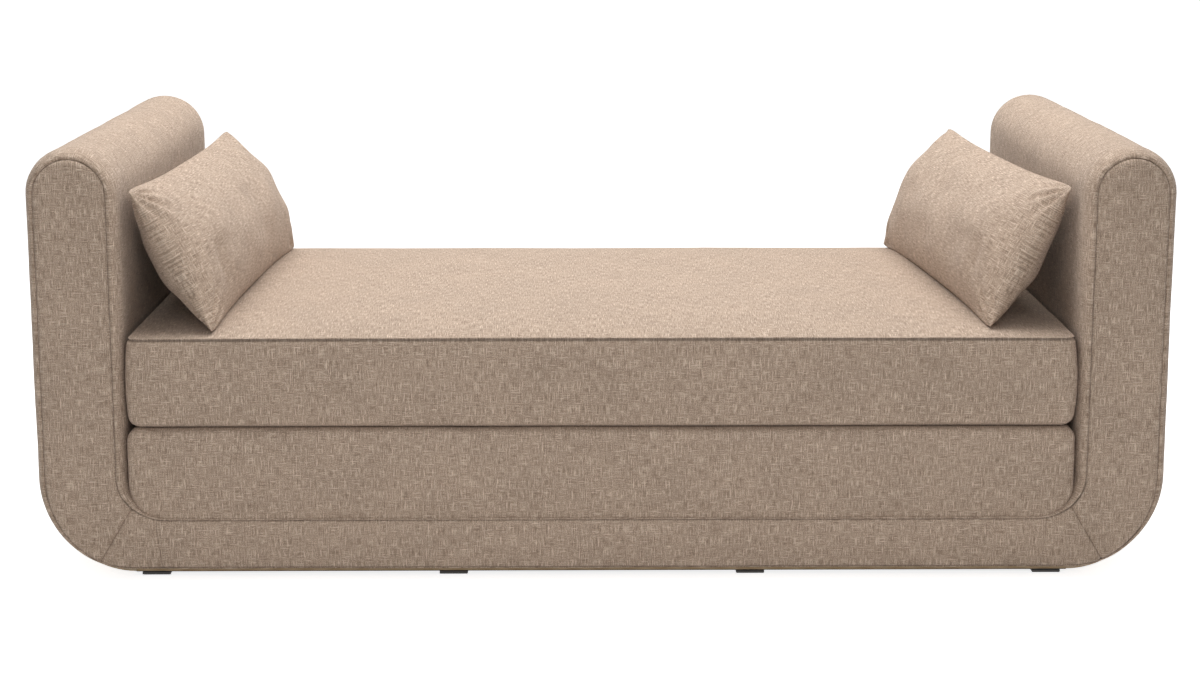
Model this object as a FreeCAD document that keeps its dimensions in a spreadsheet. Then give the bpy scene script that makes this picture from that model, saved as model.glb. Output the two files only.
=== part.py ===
import FreeCAD, Part
import math
import os
import re

import Sketcher
from FreeCAD import Placement, Rotation, Vector

# Backless divan: a U-shaped padded band makes both arms and the base, an upholstered sprung deck is
# bolted inside it, a loose box cushion lies on the deck and two long pillows lean on the arms.
# Millimetres. X runs along the divan, the front faces -Y, Z is up, and the origin is on the floor
# under the middle.

SIZES = (
    ("overall_width", 1980),
    ("overall_depth", 900),
    ("overall_height", 765),
    ("floor_gap", 5),
    ("contact_gap", 0.3),
    ("cloth", 2),
    # the U-shaped band
    ("arm_thickness", 160),
    ("base_height", 98),
    ("outer_corner", 165),
    ("inner_corner", 68),
    ("roll_depth", 30),
    ("seam_inset", 18),
    ("base_seam_inset", 4),
    ("mitre_angle", 53),
    ("turned_in", 44),
    ("turned_under", 60),
    ("arm_padding", 20),
    ("front_padding", 30),
    # its frame
    ("board", 22),
    ("ply_skin", 6),
    ("foot_lap", 175),
    ("bearer_place", 550),
    ("dust_cloth", 1),
    ("glide_length", 50),
    ("glide_width", 18),
    ("glide_bevel", 1.5),
    ("glide_inset", 35),
    # the deck
    ("deck_gap", 3),
    ("deck_setback", 4),
    ("deck_height", 170),
    ("deck_top_corner", 22),
    ("deck_roll", 18),
    ("deck_padding", 20),
    ("deck_foam", 28),
    ("deck_turned_under", 40),
    ("felt", 3),
    ("webbing", 2),
    ("webbing_width", 60),
    ("webbing_hold", 16),
    ("webbing_pitch", 125),
    ("long_webbing_pitch", 200),
    ("weave_gap", 0.1),
    ("crossbar_width", 45),
    ("crossbar_height", 70),
    ("crossbar_place", 275),
    ("corner_block", 60),
    ("corner_block_height", 70),
    ("screw_radius", 4),
    ("screw_length", 50),
    ("screw_place", 120),
    ("screw_head_width", 13),
    ("screw_head_height", 5.5),
    # the seat cushion
    ("seat_gap", 4),
    ("seat_height", 156),
    ("seat_crown", 22),
    ("seat_rim", 3),
    ("seat_end_crown", 4),
    ("seat_crown_run", 320),
    ("seat_setback", 8),
    ("seat_back_setback", 14),
    ("seat_bulge", 5),
    ("seat_draw_in", 3),
    ("seat_corner", 25),
    ("seat_under_roll", 20),
    ("wadding", 12),
    ("bottom_panel_inset", 30),
    # its zip
    ("zip_length", 1400),
    ("zip_width", 26),
    ("zip_tape", 1.2),
    ("chain_width", 6),
    ("chain_thickness", 1.4),
    ("slider_length", 18),
    ("slider_width", 12),
    ("slider_height", 4.5),
    ("slider_clearance", 0.3),
    ("slider_lug", 2),
    ("pin_radius", 1),
    ("pin_clearance", 0.15),
    ("pull_length", 26),
    ("pull_width", 9),
    ("pull_thickness", 1.6),
    ("pull_neck", 10),
    ("pull_shoulder", 13),
    ("pull_corner", 2),
    # the pillows
    ("pillow_length", 844),
    ("pillow_width", 294),
    ("pillow_thickness", 136),
    ("pillow_draw_in", 14),
    ("pillow_end_run", 170),
    ("pillow_end_fullness", 60),
    ("pillow_seam", 5),
    ("pillow_lean", 29),
    ("left_pillow_turn", 2.2),
    ("right_pillow_turn", 4.8),
    ("left_pillow_place", -3),
    ("right_pillow_place", 23),
)

# Places that several pieces share, as formulas of the sizes above
HALF_WIDTH = "(overall_width / 2)"
HALF_DEPTH = "(overall_depth / 2)"
ARM_FACE = f"({HALF_WIDTH} - arm_thickness)"
ARM_MIDDLE = f"({HALF_WIDTH} - arm_thickness / 2)"
ARM_CROWN = "(overall_height - arm_thickness / 2)"
BASE_TOP = "(floor_gap + base_height)"
OUTER_TURN = f"({HALF_WIDTH} - outer_corner)"
INNER_TURN = f"({ARM_FACE} - inner_corner)"
SKIN_SIDE = "(cloth + arm_padding)"
RIB_SIDE = f"({SKIN_SIDE} + ply_skin)"
FRAME_FRONT = f"({HALF_DEPTH} - cloth - front_padding)"
FRAME_UNDER = "(floor_gap + cloth + dust_cloth)"
FRAME_SEAT = f"({BASE_TOP} - cloth)"
PANEL_UNDER = f"({FRAME_SEAT} - ply_skin)"
RAIL_PLACE = f"({FRAME_FRONT} - board / 2)"
RAIL_INSIDE = f"({FRAME_FRONT} - board)"
FOOT_END = f"({OUTER_TURN} - foot_lap)"
GLIDE_END = f"({OUTER_TURN} - glide_inset)"

DECK_END = f"({ARM_FACE} - deck_gap)"
DECK_FRONT = f"({HALF_DEPTH} - deck_setback)"
DECK_TOP = f"({BASE_TOP} + deck_height)"
DECK_CORNER = "(inner_corner - deck_gap)"
DECK_SIDE = "(cloth + deck_padding)"
DECK_FRAME_END = f"({DECK_END} - {DECK_SIDE})"
DECK_FRAME_FRONT = f"({DECK_FRONT} - {DECK_SIDE})"
DECK_FRAME_UNDER = f"({BASE_TOP} + cloth)"
DECK_FRAME_CORNER = f"({DECK_CORNER} - {DECK_SIDE})"
FELT_TOP = f"({DECK_TOP} - cloth - deck_foam)"
DECK_RAIL_TOP = f"({FELT_TOP} - felt - 2 * (webbing + weave_gap))"
CROSSBAR_TOP = f"({FRAME_SEAT} + crossbar_height)"

SEAT_END = f"({ARM_FACE} - seat_gap - seat_bulge)"
SEAT_FRONT = f"({HALF_DEPTH} - seat_setback)"
SEAT_BACK = f"({HALF_DEPTH} - seat_back_setback)"
SEAT_UNDER = f"({DECK_TOP} + contact_gap)"
SEAT_SEAM = f"({SEAT_UNDER} + seat_height)"
ZIP_HEIGHT = f"({SEAT_UNDER} + seat_height / 2)"
TAPE_OUTSIDE = f"({SEAT_BACK} + seat_bulge - 0.5 * cloth)"
CHAIN_OUTSIDE = f"({TAPE_OUTSIDE} + chain_thickness)"
SLIDER_START = "(zip_length / 2 - slider_length)"
SLIDER_OUTSIDE = f"({TAPE_OUTSIDE} + slider_clearance + slider_height)"
PIN_PLACE = f"({SLIDER_OUTSIDE} + 2 * pin_radius + slider_clearance)"

MARGIN = 50  # how far a cutting block reaches past what it cuts
ROLL_FLATS = 1  # flats that round a rolled edge
LINING_CHORDS = 5  # chords that stand for a corner's arc on the hidden inside of a cover
THIN_BORDER = 0.75  # share of the deck's corner beyond which its border foam is part of the end pad
ROLL_LIMIT = 0.8  # most of a cushion's corner radius that its lower roll takes
OVERRUN = 1  # how far a shaping cut runs past the form that it trims
SETTLE_STEPS = 12
SETTLE_CLOSENESS = 0.02

document = FreeCAD.newDocument("backless_divan")
sheet = document.addObject("Spreadsheet::Sheet", "Sizes")
for row, (alias, number) in enumerate(SIZES, start=1):
    sheet.set(f"A{row}", alias.replace("_", " "))
    sheet.set(f"B{row}", str(number))
    sheet.setAlias(f"B{row}", alias)
document.recompute()

nodes = []


def bound(formula):
    """The formula with each size's name written as its cell of the sheet."""
    return re.sub(r"\b[a-z][a-z_]*\b", lambda name: "Sizes." + name[0], formula)


def size(formula):
    """What a formula of the sizes comes to."""
    return float(sheet.evalExpression(bound(formula)))


def piece(label, shape):
    """A sub-part whose shape is worked out here."""
    feature = document.addObject("Part::Feature", label)
    feature.Label = label
    feature.Shape = shape
    nodes.append(feature)
    return feature


def group(label, members):
    """Like pieces that share one sub-part, each still a solid of its own."""
    compound = document.addObject("Part::Compound", label)
    compound.Label = label
    compound.Links = members
    for member in members:
        nodes.remove(member)
    nodes.append(compound)


def box_piece(label, low, span):
    """A plain board or sheet, with its low corner and its sizes bound to the sheet."""
    box = document.addObject("Part::Box", label)
    box.Label = label
    for side, formula in zip(("Length", "Width", "Height"), span):
        box.setExpression(side, bound(formula))
    for axis, formula in zip("xyz", low):
        box.setExpression(f"Placement.Base.{axis}", bound(formula))
    nodes.append(box)
    return box


def origin_plane(body, role):
    return next(feature for feature in body.Origin.OriginFeatures if feature.Role == role)


def new_sketch(body, role):
    sketch = body.newObject("Sketcher::SketchObject", body.Label + "_sketch")
    sketch.AttachmentSupport = [(origin_plane(body, role), "")]
    sketch.MapMode = "FlatFace"
    return sketch


def pin_point(sketch, element, point, across, up):
    """Holds one point of a sketch at two formulas, measured from the sketch's origin."""
    for kind, formula in (("DistanceX", across), ("DistanceY", up)):
        rule = sketch.addConstraint(Sketcher.Constraint(kind, -1, 1, element, point, size(formula)))
        sketch.setExpression(f"Constraints[{rule}]", bound(formula))


def draw_polygon(sketch, corners):
    """A closed outline of straight lines through corners given as pairs of formulas."""
    points = [Vector(size(across), size(up), 0) for across, up in corners]
    lines = [
        sketch.addGeometry(Part.LineSegment(start, end))
        for start, end in zip(points, points[1:] + points[:1])
    ]
    for line, after in zip(lines, lines[1:] + lines[:1]):
        sketch.addConstraint(Sketcher.Constraint("Coincident", line, 2, after, 1))
    for line, (across, up) in zip(lines, corners):
        pin_point(sketch, line, 1, across, up)


def draw_circle(sketch, centre, radius):
    place = Vector(size(centre[0]), size(centre[1]), 0)
    circle = sketch.addGeometry(Part.Circle(place, Vector(0, 0, 1), size(radius)))
    pin_point(sketch, circle, 3, *centre)
    rule = sketch.addConstraint(Sketcher.Constraint("Radius", circle, size(radius)))
    sketch.setExpression(f"Constraints[{rule}]", bound(radius))


def pad(body, sketch, length, both_ways):
    feature = body.newObject("PartDesign::Pad", body.Label + "_pad")
    feature.Profile = sketch
    feature.SideType = "Symmetric" if both_ways else "One side"
    feature.setExpression("Length", bound(length))
    document.recompute()
    return feature


def pocket(body, sketch, length, towards_normal):
    """A cut from the sketch plane to one side of it, which has to take some of the body away."""
    before = body.Shape.Volume
    feature = body.newObject("PartDesign::Pocket", body.Label + "_pocket")
    feature.Profile = sketch
    feature.Reversed = towards_normal
    feature.setExpression("Length", bound(length))
    document.recompute()
    if body.Shape.Volume >= before:
        raise ValueError(f"a pocket of {body.Label} cuts nothing")
    return feature


def round_corners(body, base, corners):
    """Rounds the edges of a board that stand on given corners of its XZ outline."""
    for across, up, radius in corners:
        names = [
            f"Edge{number}"
            for number, edge in enumerate(base.Shape.Edges, start=1)
            if all(
                math.hypot(end.X - size(across), end.Z - size(up)) < 0.01 for end in edge.Vertexes
            )
        ]
        fillet = body.newObject("PartDesign::Fillet", body.Label + "_fillet")
        fillet.Base = (base, names)
        fillet.setExpression("Radius", bound(radius))
        document.recompute()
        base = fillet


def plate(label, outline, thickness, place, rounded=(), laps=()):
    """A board cut from sheet, its outline in XZ, its middle at a place along Y.

    A lap is a rectangle of the outline where only the half towards `keep` stays.
    """
    body = document.addObject("PartDesign::Body", label)
    body.Label = label
    sketch = new_sketch(body, "XZ_Plane")
    draw_polygon(sketch, outline)
    block = pad(body, sketch, thickness, both_ways=True)
    round_corners(body, block, rounded)
    for low, high, keep in laps:
        sketch = new_sketch(body, "XZ_Plane")
        draw_polygon(sketch, (low, (high[0], low[1]), high, (low[0], high[1])))
        pocket(body, sketch, thickness, towards_normal=keep == "back")
    body.setExpression("Placement.Base.y", bound(place))
    nodes.append(body)
    return body


def drilled_board(label, low, high, under, height, holes, depth):
    """A flat board, its outline in XY, with upright screw holes bored into its underside."""
    body = document.addObject("PartDesign::Body", label)
    body.Label = label
    sketch = new_sketch(body, "XY_Plane")
    draw_polygon(sketch, (low, (high[0], low[1]), high, (low[0], high[1])))
    pad(body, sketch, height, both_ways=False)
    sketch = new_sketch(body, "XY_Plane")
    for hole in holes:
        draw_circle(sketch, hole, "screw_radius")
    pocket(body, sketch, depth, towards_normal=True)
    body.setExpression("Placement.Base.z", bound(under))
    nodes.append(body)
    return body


def block(low, high):
    """A plain cutting block between two corners."""
    return Part.makeBox(*(top - bottom for bottom, top in zip(low, high)), Vector(*low))


def rounded_face(corners, chords=0):
    """A flat face in the XZ plane through corners of (across, up, radius), each one rounded by an
    arc, or by a number of chords of that arc."""
    points = [Vector(across, 0, up) for across, up, _ in corners]
    edges, bends = [], []
    for i, (across, up, radius) in enumerate(corners):
        here = points[i]
        back = (points[i - 1] - here).normalize()
        on = (points[(i + 1) % len(points)] - here).normalize()
        half = back.getAngle(on) / 2
        reach = radius / math.tan(half)
        middle = (back + on).normalize()
        arc_point = here + middle * (radius / math.sin(half) - radius)
        bends.append((here + back * reach, arc_point, here + on * reach, radius))
    for i, (start, arc_point, end, radius) in enumerate(bends):
        if radius and chords:
            turns = Part.Arc(start, arc_point, end).discretize(chords + 1)
            edges += [Part.makeLine(*pair) for pair in zip(turns, turns[1:])]
        elif radius:
            edges.append(Part.Arc(start, arc_point, end).toShape())
        after = bends[(i + 1) % len(bends)][0]
        if (after - end).Length > 1e-6:
            edges.append(Part.makeLine(end, after))
    return Part.Face(Part.Wire(edges))


def through_depth(face, half):
    """The face made as deep as the divan, to `half` each side of the middle."""
    start = face.copy()
    start.translate(Vector(0, -half, 0))
    return start.extrude(Vector(0, 2 * half, 0))


def roll_stations():
    """A quarter of a roll as flats: shares of its depth behind the face and of its inset."""
    turns = [math.pi / 2 * step / ROLL_FLATS for step in range(ROLL_FLATS + 1)]
    return [(1 - math.cos(turn), 1 - math.sin(turn)) for turn in turns]


def rolled(section, half, depth):
    """A solid from -`half` to `half` along Y whose front and back edges roll over. `section` gives
    its front view, drawn in by a share of the roll."""
    stations = [(depth * behind - half, share) for behind, share in roll_stations()]
    stations += [(-along, share) for along, share in reversed(stations)]
    wires = []
    for along, share in stations:
        wire = section(share).OuterWire
        wire.translate(Vector(0, along, 0))
        wires.append(wire)
    return Part.makeLoft(wires, True, True)


def on_side(shape, side, axis="x"):
    """The solids of a shape that lie on one side of the middle, as one shape."""
    chosen = [solid for solid in shape.Solids if getattr(solid.CenterOfMass, axis) * side > 0]
    return chosen[0] if len(chosen) == 1 else Part.makeCompound(chosen)


def band_face(side, under, seat, chords=0):
    """The U of the band in front view, drawn in by `side` at the arms, `under` at the floor and
    `seat` at the top of the base."""
    end = size(HALF_WIDTH) - side
    inside = size(ARM_FACE) + side
    top = size("overall_height") - side
    low = size("floor_gap") + under
    shelf = size(BASE_TOP) - seat
    crown = size("arm_thickness / 2") - side
    outer = size("outer_corner") - side
    inner = size("inner_corner") + side
    return rounded_face(
        (
            (-end, top, crown),
            (-end, low, outer),
            (end, low, outer),
            (end, top, crown),
            (inside, top, crown),
            (inside, shelf, inner),
            (-inside, shelf, inner),
            (-inside, top, crown),
        ),
        chords,
    )


def arm_zone(side):
    """Everything on the arm's side of the mitre seam: -1 left, 1 right."""
    inner = size("inner_corner")
    corner = Vector(size(INNER_TURN) + inner * math.sqrt(0.5), 0, 0)
    corner.z = size(BASE_TOP) + inner - inner * math.sqrt(0.5)
    slope = math.radians(size("mitre_angle"))
    top = size("overall_height") + MARGIN
    far = size(HALF_WIDTH) + MARGIN
    above = corner + Vector(-math.cos(slope), 0, math.sin(slope)) * MARGIN
    drop = corner.z + MARGIN
    below = corner + Vector(drop / math.tan(slope), 0, -drop)
    outline = [above, Vector(above.x, 0, top), Vector(far, 0, top), Vector(far, 0, below.z), below]
    points = [Vector(side * point.x, 0, point.z) for point in outline]
    face = Part.Face(Part.makePolygon(points + points[:1]))
    return through_depth(face, size(HALF_DEPTH) + MARGIN)


ARMS = (("left", -1, arm_zone(-1)), ("right", 1, arm_zone(1)))
ENDS = (("front", -1), ("back", 1))


def band_block(inset, chords=0):
    """The whole band with its rolled edges, drawn in by `inset` all round."""
    seam, base_seam = size("seam_inset"), size("base_seam_inset")

    def section(share):
        base = inset + base_seam * share
        return band_face(inset + seam * share, base, base, chords)

    return rolled(section, size(HALF_DEPTH) - inset, size("roll_depth"))


def make_band_covers():
    """The sewn cover of the U: front and back panels in three mitred pieces, the arm covers, and
    the cloth turned in over and turned under the base."""
    cloth, depth = size("cloth"), size(HALF_DEPTH)
    inside = band_block(cloth)
    base_seam = size("base_seam_inset")
    zones = [zone for _, _, zone in ARMS]
    panels = {}
    for end, way in ENDS:
        panel = band_face(size("seam_inset"), base_seam, base_seam)
        panel.translate(Vector(0, way * depth, 0))
        panels[end] = panel.extrude(Vector(0, -way * cloth, 0))
    band = band_block(0).cut([inside, *panels.values()])
    for name, _, zone in ARMS:
        piece(f"arm_cover_{name}", band.common(zone))
        for end, _ in ENDS:
            piece(f"{end}_panel_{name}", panels[end].common(zone))
    for end, _ in ENDS:
        piece(f"{end}_panel_base", panels[end].cut(zones))
    wide, shelf = size(HALF_WIDTH), size(BASE_TOP)
    middle = size("floor_gap + base_height / 2")
    open_top, open_under = depth - size("turned_in"), depth - size("turned_under")
    flaps = band.cut(
        zones
        + [
            block((-wide, -open_top, middle), (wide, open_top, shelf + size("inner_corner"))),
            block((-wide, -open_under, 0), (wide, open_under, middle)),
        ]
    )
    by_height = sorted(flaps.Solids, key=lambda solid: solid.CenterOfMass.z)
    piece("turned_under_cloth", Part.makeCompound(by_height[:2]))
    piece("turned_in_cloth", Part.makeCompound(by_height[2:]))
    return inside


def make_band_foam(inside):
    """Foam round each arm's frame, and the pads on the front and back of the base."""
    frame = through_depth(
        band_face(size(SKIN_SIDE), size("cloth + dust_cloth"), size("cloth")), size(FRAME_FRONT)
    )
    around = inside.cut(frame)
    for name, _, zone in ARMS:
        piece(f"arm_foam_{name}", around.common(zone))
    wide, front = size(HALF_WIDTH), size(FRAME_FRONT)
    core = block((-wide, -front, 0), (wide, front, size(ARM_CROWN)))
    pads = inside.cut([core] + [zone for _, _, zone in ARMS])
    for end, way in ENDS:
        piece(f"base_foam_{end}", on_side(pads, way, "y"))


def make_arm_frames():
    """J-shaped ribs with a half-lapped foot, a half-round top rail and bent plywood skins."""
    places = (("front", f"0 - {RAIL_PLACE}"), ("middle", "0 * board"), ("back", RAIL_PLACE))
    foot = f"({FRAME_UNDER} + ply_skin)"
    for name, side, _ in ARMS:
        outer, inner = f"{side} * ({HALF_WIDTH} - {RIB_SIDE})", f"{side} * ({ARM_FACE} + {RIB_SIDE})"
        end = f"{side} * {FOOT_END}"
        outline = (
            (outer, ARM_CROWN),
            (inner, ARM_CROWN),
            (inner, PANEL_UNDER),
            (end, PANEL_UNDER),
            (end, foot),
            (outer, foot),
        )
        rounded = (
            (inner, PANEL_UNDER, f"inner_corner + {RIB_SIDE}"),
            (outer, foot, f"outer_corner - {RIB_SIDE}"),
        )
        lap = ((f"{side} * {OUTER_TURN}", foot), (f"{side} * ({FOOT_END} - 1)", f"{PANEL_UNDER} + 1"))
        ribs = [
            plate(f"arm_rib_{name}_{where}", outline, "board", place, rounded, [(*lap, "front")])
            for where, place in places
        ]
        group(f"arm_ribs_{name}", ribs)
        rail = document.addObject("Part::Cylinder", f"arm_top_rail_{name}")
        rail.setExpression("Radius", bound(f"arm_thickness / 2 - {SKIN_SIDE}"))
        rail.setExpression("Height", bound(f"2 * {FRAME_FRONT}"))
        rail.Angle = 180
        rail.Placement = Placement(Vector(0, 0, 0), Rotation(Vector(1, 0, 0), 90))
        rail.setExpression("Placement.Base.x", bound(f"{side} * {ARM_MIDDLE}"))
        rail.setExpression("Placement.Base.y", bound(FRAME_FRONT))
        rail.setExpression("Placement.Base.z", bound(ARM_CROWN))
        nodes.append(rail)

    under, seat = size("cloth + dust_cloth"), size("cloth")
    skin = size("ply_skin")
    ring = band_face(size(SKIN_SIDE), under, seat).cut(
        band_face(size(RIB_SIDE), under + skin, seat + skin)
    )
    ring = through_depth(ring, size(FRAME_FRONT))
    turn, inner_turn = size(OUTER_TURN), size(INNER_TURN)
    top = size("overall_height")
    trimmed = ring.cut(
        [
            block((-inner_turn, -top, 0), (inner_turn, top, top)),
            block((-turn, -top, 0), (turn, top, size("floor_gap + base_height / 2"))),
            block((-top - turn, -top, size(ARM_CROWN)), (top + turn, top, top)),
        ]
    )
    for name, side, _ in ARMS:
        pair = sorted(on_side(trimmed, side).Solids, key=lambda solid: abs(solid.CenterOfMass.x))
        piece(f"arm_inner_skin_{name}", pair[0])
        piece(f"arm_outer_skin_{name}", pair[1])


def make_base_frame():
    """Rails that the rib feet are lapped to, bearers between them, the ply panel on top."""
    low, high = f"{FRAME_UNDER} + ply_skin", f"{PANEL_UNDER} + 1"
    outline = (
        (f"0 - {OUTER_TURN}", FRAME_UNDER),
        (OUTER_TURN, FRAME_UNDER),
        (OUTER_TURN, PANEL_UNDER),
        (f"0 - {OUTER_TURN}", PANEL_UNDER),
    )
    laps = [
        ((f"{side} * ({OUTER_TURN} + 1)", low), (f"{side} * {FOOT_END}", high), "back")
        for _, side, _ in ARMS
    ]
    places = (("front", f"0 - {RAIL_PLACE}"), ("middle", "0 * board"), ("back", RAIL_PLACE))
    for name, place in places:
        plate(f"base_rail_{name}", outline, "board", place, laps=laps)

    span = ("board", f"{RAIL_INSIDE} - board / 2", f"{PANEL_UNDER} - {FRAME_UNDER}")
    bearers = [
        box_piece(
            f"base_bearer_{name}_{where}",
            (f"{centre} * bearer_place - board / 2", start, FRAME_UNDER),
            span,
        )
        for name, start in (("front", f"0 - {RAIL_INSIDE}"), ("back", "board / 2"))
        for where, centre in (("left", -1), ("centre", 0), ("right", 1))
    ]
    group("base_bearers", bearers)

    drilled_board(
        "base_panel",
        (f"0 - {INNER_TURN}", f"0 - {FRAME_FRONT}"),
        (INNER_TURN, FRAME_FRONT),
        PANEL_UNDER,
        "ply_skin",
        [(f"{side} * crossbar_place", f"{side} * screw_place") for _, side, _ in ARMS],
        "ply_skin",
    )


def make_underside():
    """Dust cover, and moulded glide blocks in four places along each long rail."""
    gap, cloth = size("floor_gap"), size("cloth")
    wide, deep = size(OUTER_TURN), size(FRAME_FRONT)
    dust = block((-wide, -deep, gap + cloth), (wide, deep, gap + cloth + size("dust_cloth")))
    piece("dust_cover", dust)
    reach, length, width = size(GLIDE_END), size("glide_length"), size("glide_width")
    glides = []
    for share in (-1, -1 / 3, 1 / 3, 1):
        for _, way in ENDS:
            corner = Vector(share * reach - length / 2, way * size(RAIL_PLACE) - width / 2, 0)
            glide = Part.makeBox(length, width, gap, corner)
            rim = [edge for edge in glide.Edges if edge.CenterOfMass.z == 0]
            glides.append(glide.makeChamfer(size("glide_bevel"), rim))
    piece("glides", Part.makeCompound(glides))


def deck_face(side, under, top, chords=0):
    """The deck in front view, drawn in by `side` at the ends, and at its underside and top."""
    end = size(DECK_END) - side
    low, high = size(BASE_TOP) + under, size(DECK_TOP) - top
    lower = size(DECK_CORNER) - side
    upper = max(size("deck_top_corner") - side, 1)
    corners = ((-end, low, lower), (end, low, lower), (end, high, upper), (-end, high, upper))
    return rounded_face(corners, chords)


def deck_block(inset, chords=0):
    """The whole deck with its rolled edges, drawn in by `inset` all round."""
    roll = max(size("deck_roll") - inset, 1)

    def section(share):
        drawn = inset + roll * share
        return deck_face(drawn, drawn, drawn, chords)

    return rolled(section, size(DECK_FRONT) - inset, roll)


def make_deck_soft():
    """The deck's cover, its foam and the felt over the webbing."""
    cloth, depth = size("cloth"), size(DECK_FRONT)
    outside, inside = deck_block(0), deck_block(cloth)
    under, top = size(BASE_TOP), size(DECK_TOP)
    wide = size(DECK_END) - size("deck_turned_under") - size("deck_padding")
    deep = depth - size("deck_turned_under")
    opening = block((-wide, -deep, under - 1), (wide, deep, under + size(DECK_SIDE)))
    piece("deck_cover", outside.cut(inside).cut(opening))

    felt_top = size(FELT_TOP)
    end, front = size(DECK_FRAME_END), size(DECK_FRAME_FRONT)
    far = size(HALF_WIDTH)
    lower = inside.cut(block((-far, -far, felt_top), (far, far, top)))
    piece("deck_foam_top", inside.cut(block((-far, -far, 0), (far, far, felt_top))))
    thin_edge = size(DECK_END) - THIN_BORDER * size(DECK_CORNER)
    middle = block((-thin_edge, -front, under), (thin_edge, front, felt_top))
    frame = through_depth(deck_face(size(DECK_SIDE), cloth, cloth), front)
    border = lower.cut(middle).cut(frame)
    between = block((-far, -front, 0), (far, front, top))
    pads = border.cut(between).Solids + border.common(between).Solids
    piece("deck_foam_border", Part.makeCompound(pads))
    box_piece(
        "deck_felt",
        (f"0 - {DECK_FRAME_END}", f"0 - {DECK_FRAME_FRONT}", f"{FELT_TOP} - felt"),
        (f"2 * {DECK_FRAME_END}", f"2 * {DECK_FRAME_FRONT}", "felt"),
    )


def make_deck_frame():
    """Long rails with rounded lower corners, end rails, crossbars and corner blocks."""
    outline = (
        (f"0 - {DECK_FRAME_END}", DECK_FRAME_UNDER),
        (DECK_FRAME_END, DECK_FRAME_UNDER),
        (DECK_FRAME_END, DECK_RAIL_TOP),
        (f"0 - {DECK_FRAME_END}", DECK_RAIL_TOP),
    )
    rounded = [(across, up, DECK_FRAME_CORNER) for across, up in outline[:2]]
    for name, way in ENDS:
        place = f"{way} * ({DECK_FRAME_FRONT} - board / 2)"
        plate(f"deck_rail_{name}", outline, "board", place, rounded)
    inside = f"({DECK_FRAME_FRONT} - board)"
    end_under = f"({DECK_FRAME_UNDER} + {DECK_FRAME_CORNER})"
    starts = {"left": f"0 - {DECK_FRAME_END}", "right": f"{DECK_FRAME_END} - board"}
    for name, side, _ in ARMS:
        span = ("board", f"2 * {inside}", f"{DECK_RAIL_TOP} - {end_under}")
        box_piece(f"deck_end_rail_{name}", (starts[name], f"0 - {inside}", end_under), span)
        centre = f"{side} * crossbar_place"
        drilled_board(
            f"deck_crossbar_{name}",
            (f"{centre} - crossbar_width / 2", f"0 - {inside}"),
            (f"{centre} + crossbar_width / 2", inside),
            FRAME_SEAT,
            "crossbar_height",
            [(centre, f"{side} * screw_place")],
            "screw_length - ply_skin",
        )
    corners = [
        corner_block(f"deck_corner_block_{end}_{name}", side, way, inside)
        for name, side, _ in ARMS
        for end, way in ENDS
    ]
    group("deck_corner_blocks", corners)


def corner_block(label, side, way, inside):
    """A three-cornered block glued where a long rail meets an end rail."""
    body = document.addObject("PartDesign::Body", label)
    body.Label = label
    across, along = f"({DECK_FRAME_END} - board)", inside
    sketch = new_sketch(body, "XY_Plane")
    draw_polygon(
        sketch,
        (
            (f"{side} * {across}", f"{way} * {along}"),
            (f"{side} * ({across} - corner_block)", f"{way} * {along}"),
            (f"{side} * {across}", f"{way} * ({along} - corner_block)"),
        ),
    )
    pad(body, sketch, "corner_block_height", both_ways=False)
    body.setExpression("Placement.Base.z", bound(f"{DECK_RAIL_TOP} - corner_block_height - board"))
    nodes.append(body)
    return body


def spread(half, pitch):
    """Evenly pitched places each side of the middle, as many as fit within `half`."""
    count = int(half // pitch)
    return [pitch * step for step in range(-count, count + 1)]


def make_webbing():
    """Elastic webbing: straps across the deck frame, and long straps woven over and under them."""
    thick, width, gap = size("webbing"), size("webbing_width"), size("weave_gap")
    level = size(DECK_RAIL_TOP)
    hold = size("webbing_hold")
    inner_end = size(f"{DECK_FRAME_END} - board")
    front = size(f"{DECK_FRAME_FRONT} - board")
    across = spread(inner_end - width, size("webbing_pitch"))
    piece(
        "webbing_across",
        Part.makeCompound(
            [
                block((x - width / 2, -front - hold, level), (x + width / 2, front + hold, level + thick))
                for x in across
            ]
        ),
    )
    straps = []
    for row, y in enumerate(spread(front - width, size("long_webbing_pitch"))):
        under = [(-inner_end - hold, level), (-inner_end, level)]
        for number, x in enumerate(across):
            over = (number + row) % 2 == 0
            height = level + thick + gap if over else level - thick - gap
            under += [(x - width / 2 - thick, height), (x + width / 2 + thick, height)]
        under += [(inner_end, level), (inner_end + hold, level)]
        upper = [(x, z + thick) for x, z in reversed(under)]
        points = [Vector(x, y - width / 2, z) for x, z in under + upper]
        strap = Part.Face(Part.makePolygon(points + points[:1]))
        straps.append(strap.extrude(Vector(0, width, 0)))
    piece("webbing_along", Part.makeCompound(straps))


def hexagon(width, height, place):
    """A hexagonal prism, `width` across its flats."""
    corner = width / math.sqrt(3)
    points = [
        place + Vector(corner * math.cos(math.pi / 3 * k), corner * math.sin(math.pi / 3 * k), 0)
        for k in range(6)
    ]
    return Part.Face(Part.makePolygon(points + points[:1])).extrude(Vector(0, 0, height))


def make_deck_screws():
    """Coach screws that hold the deck's crossbars down, driven from under the base panel."""
    under, head = size(PANEL_UNDER), size("screw_head_height")
    screws = []
    for _, side, _ in ARMS:
        place = Vector(side * size("crossbar_place"), side * size("screw_place"), under)
        shank = Part.makeCylinder(size("screw_radius"), size("screw_length"), place)
        screws.append(shank.fuse(hexagon(size("screw_head_width"), head, place - Vector(0, 0, head))))
    piece("deck_screws", Part.makeCompound(screws))


def arc_or_line(start, middle, end):
    """An arc through three points, or a line where they are in line."""
    bend = (middle - start).cross(end - start).Length
    if bend < 1e-3:
        return Part.LineSegment(start, end).toShape()
    return Part.Arc(start, middle, end).toShape()


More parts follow.
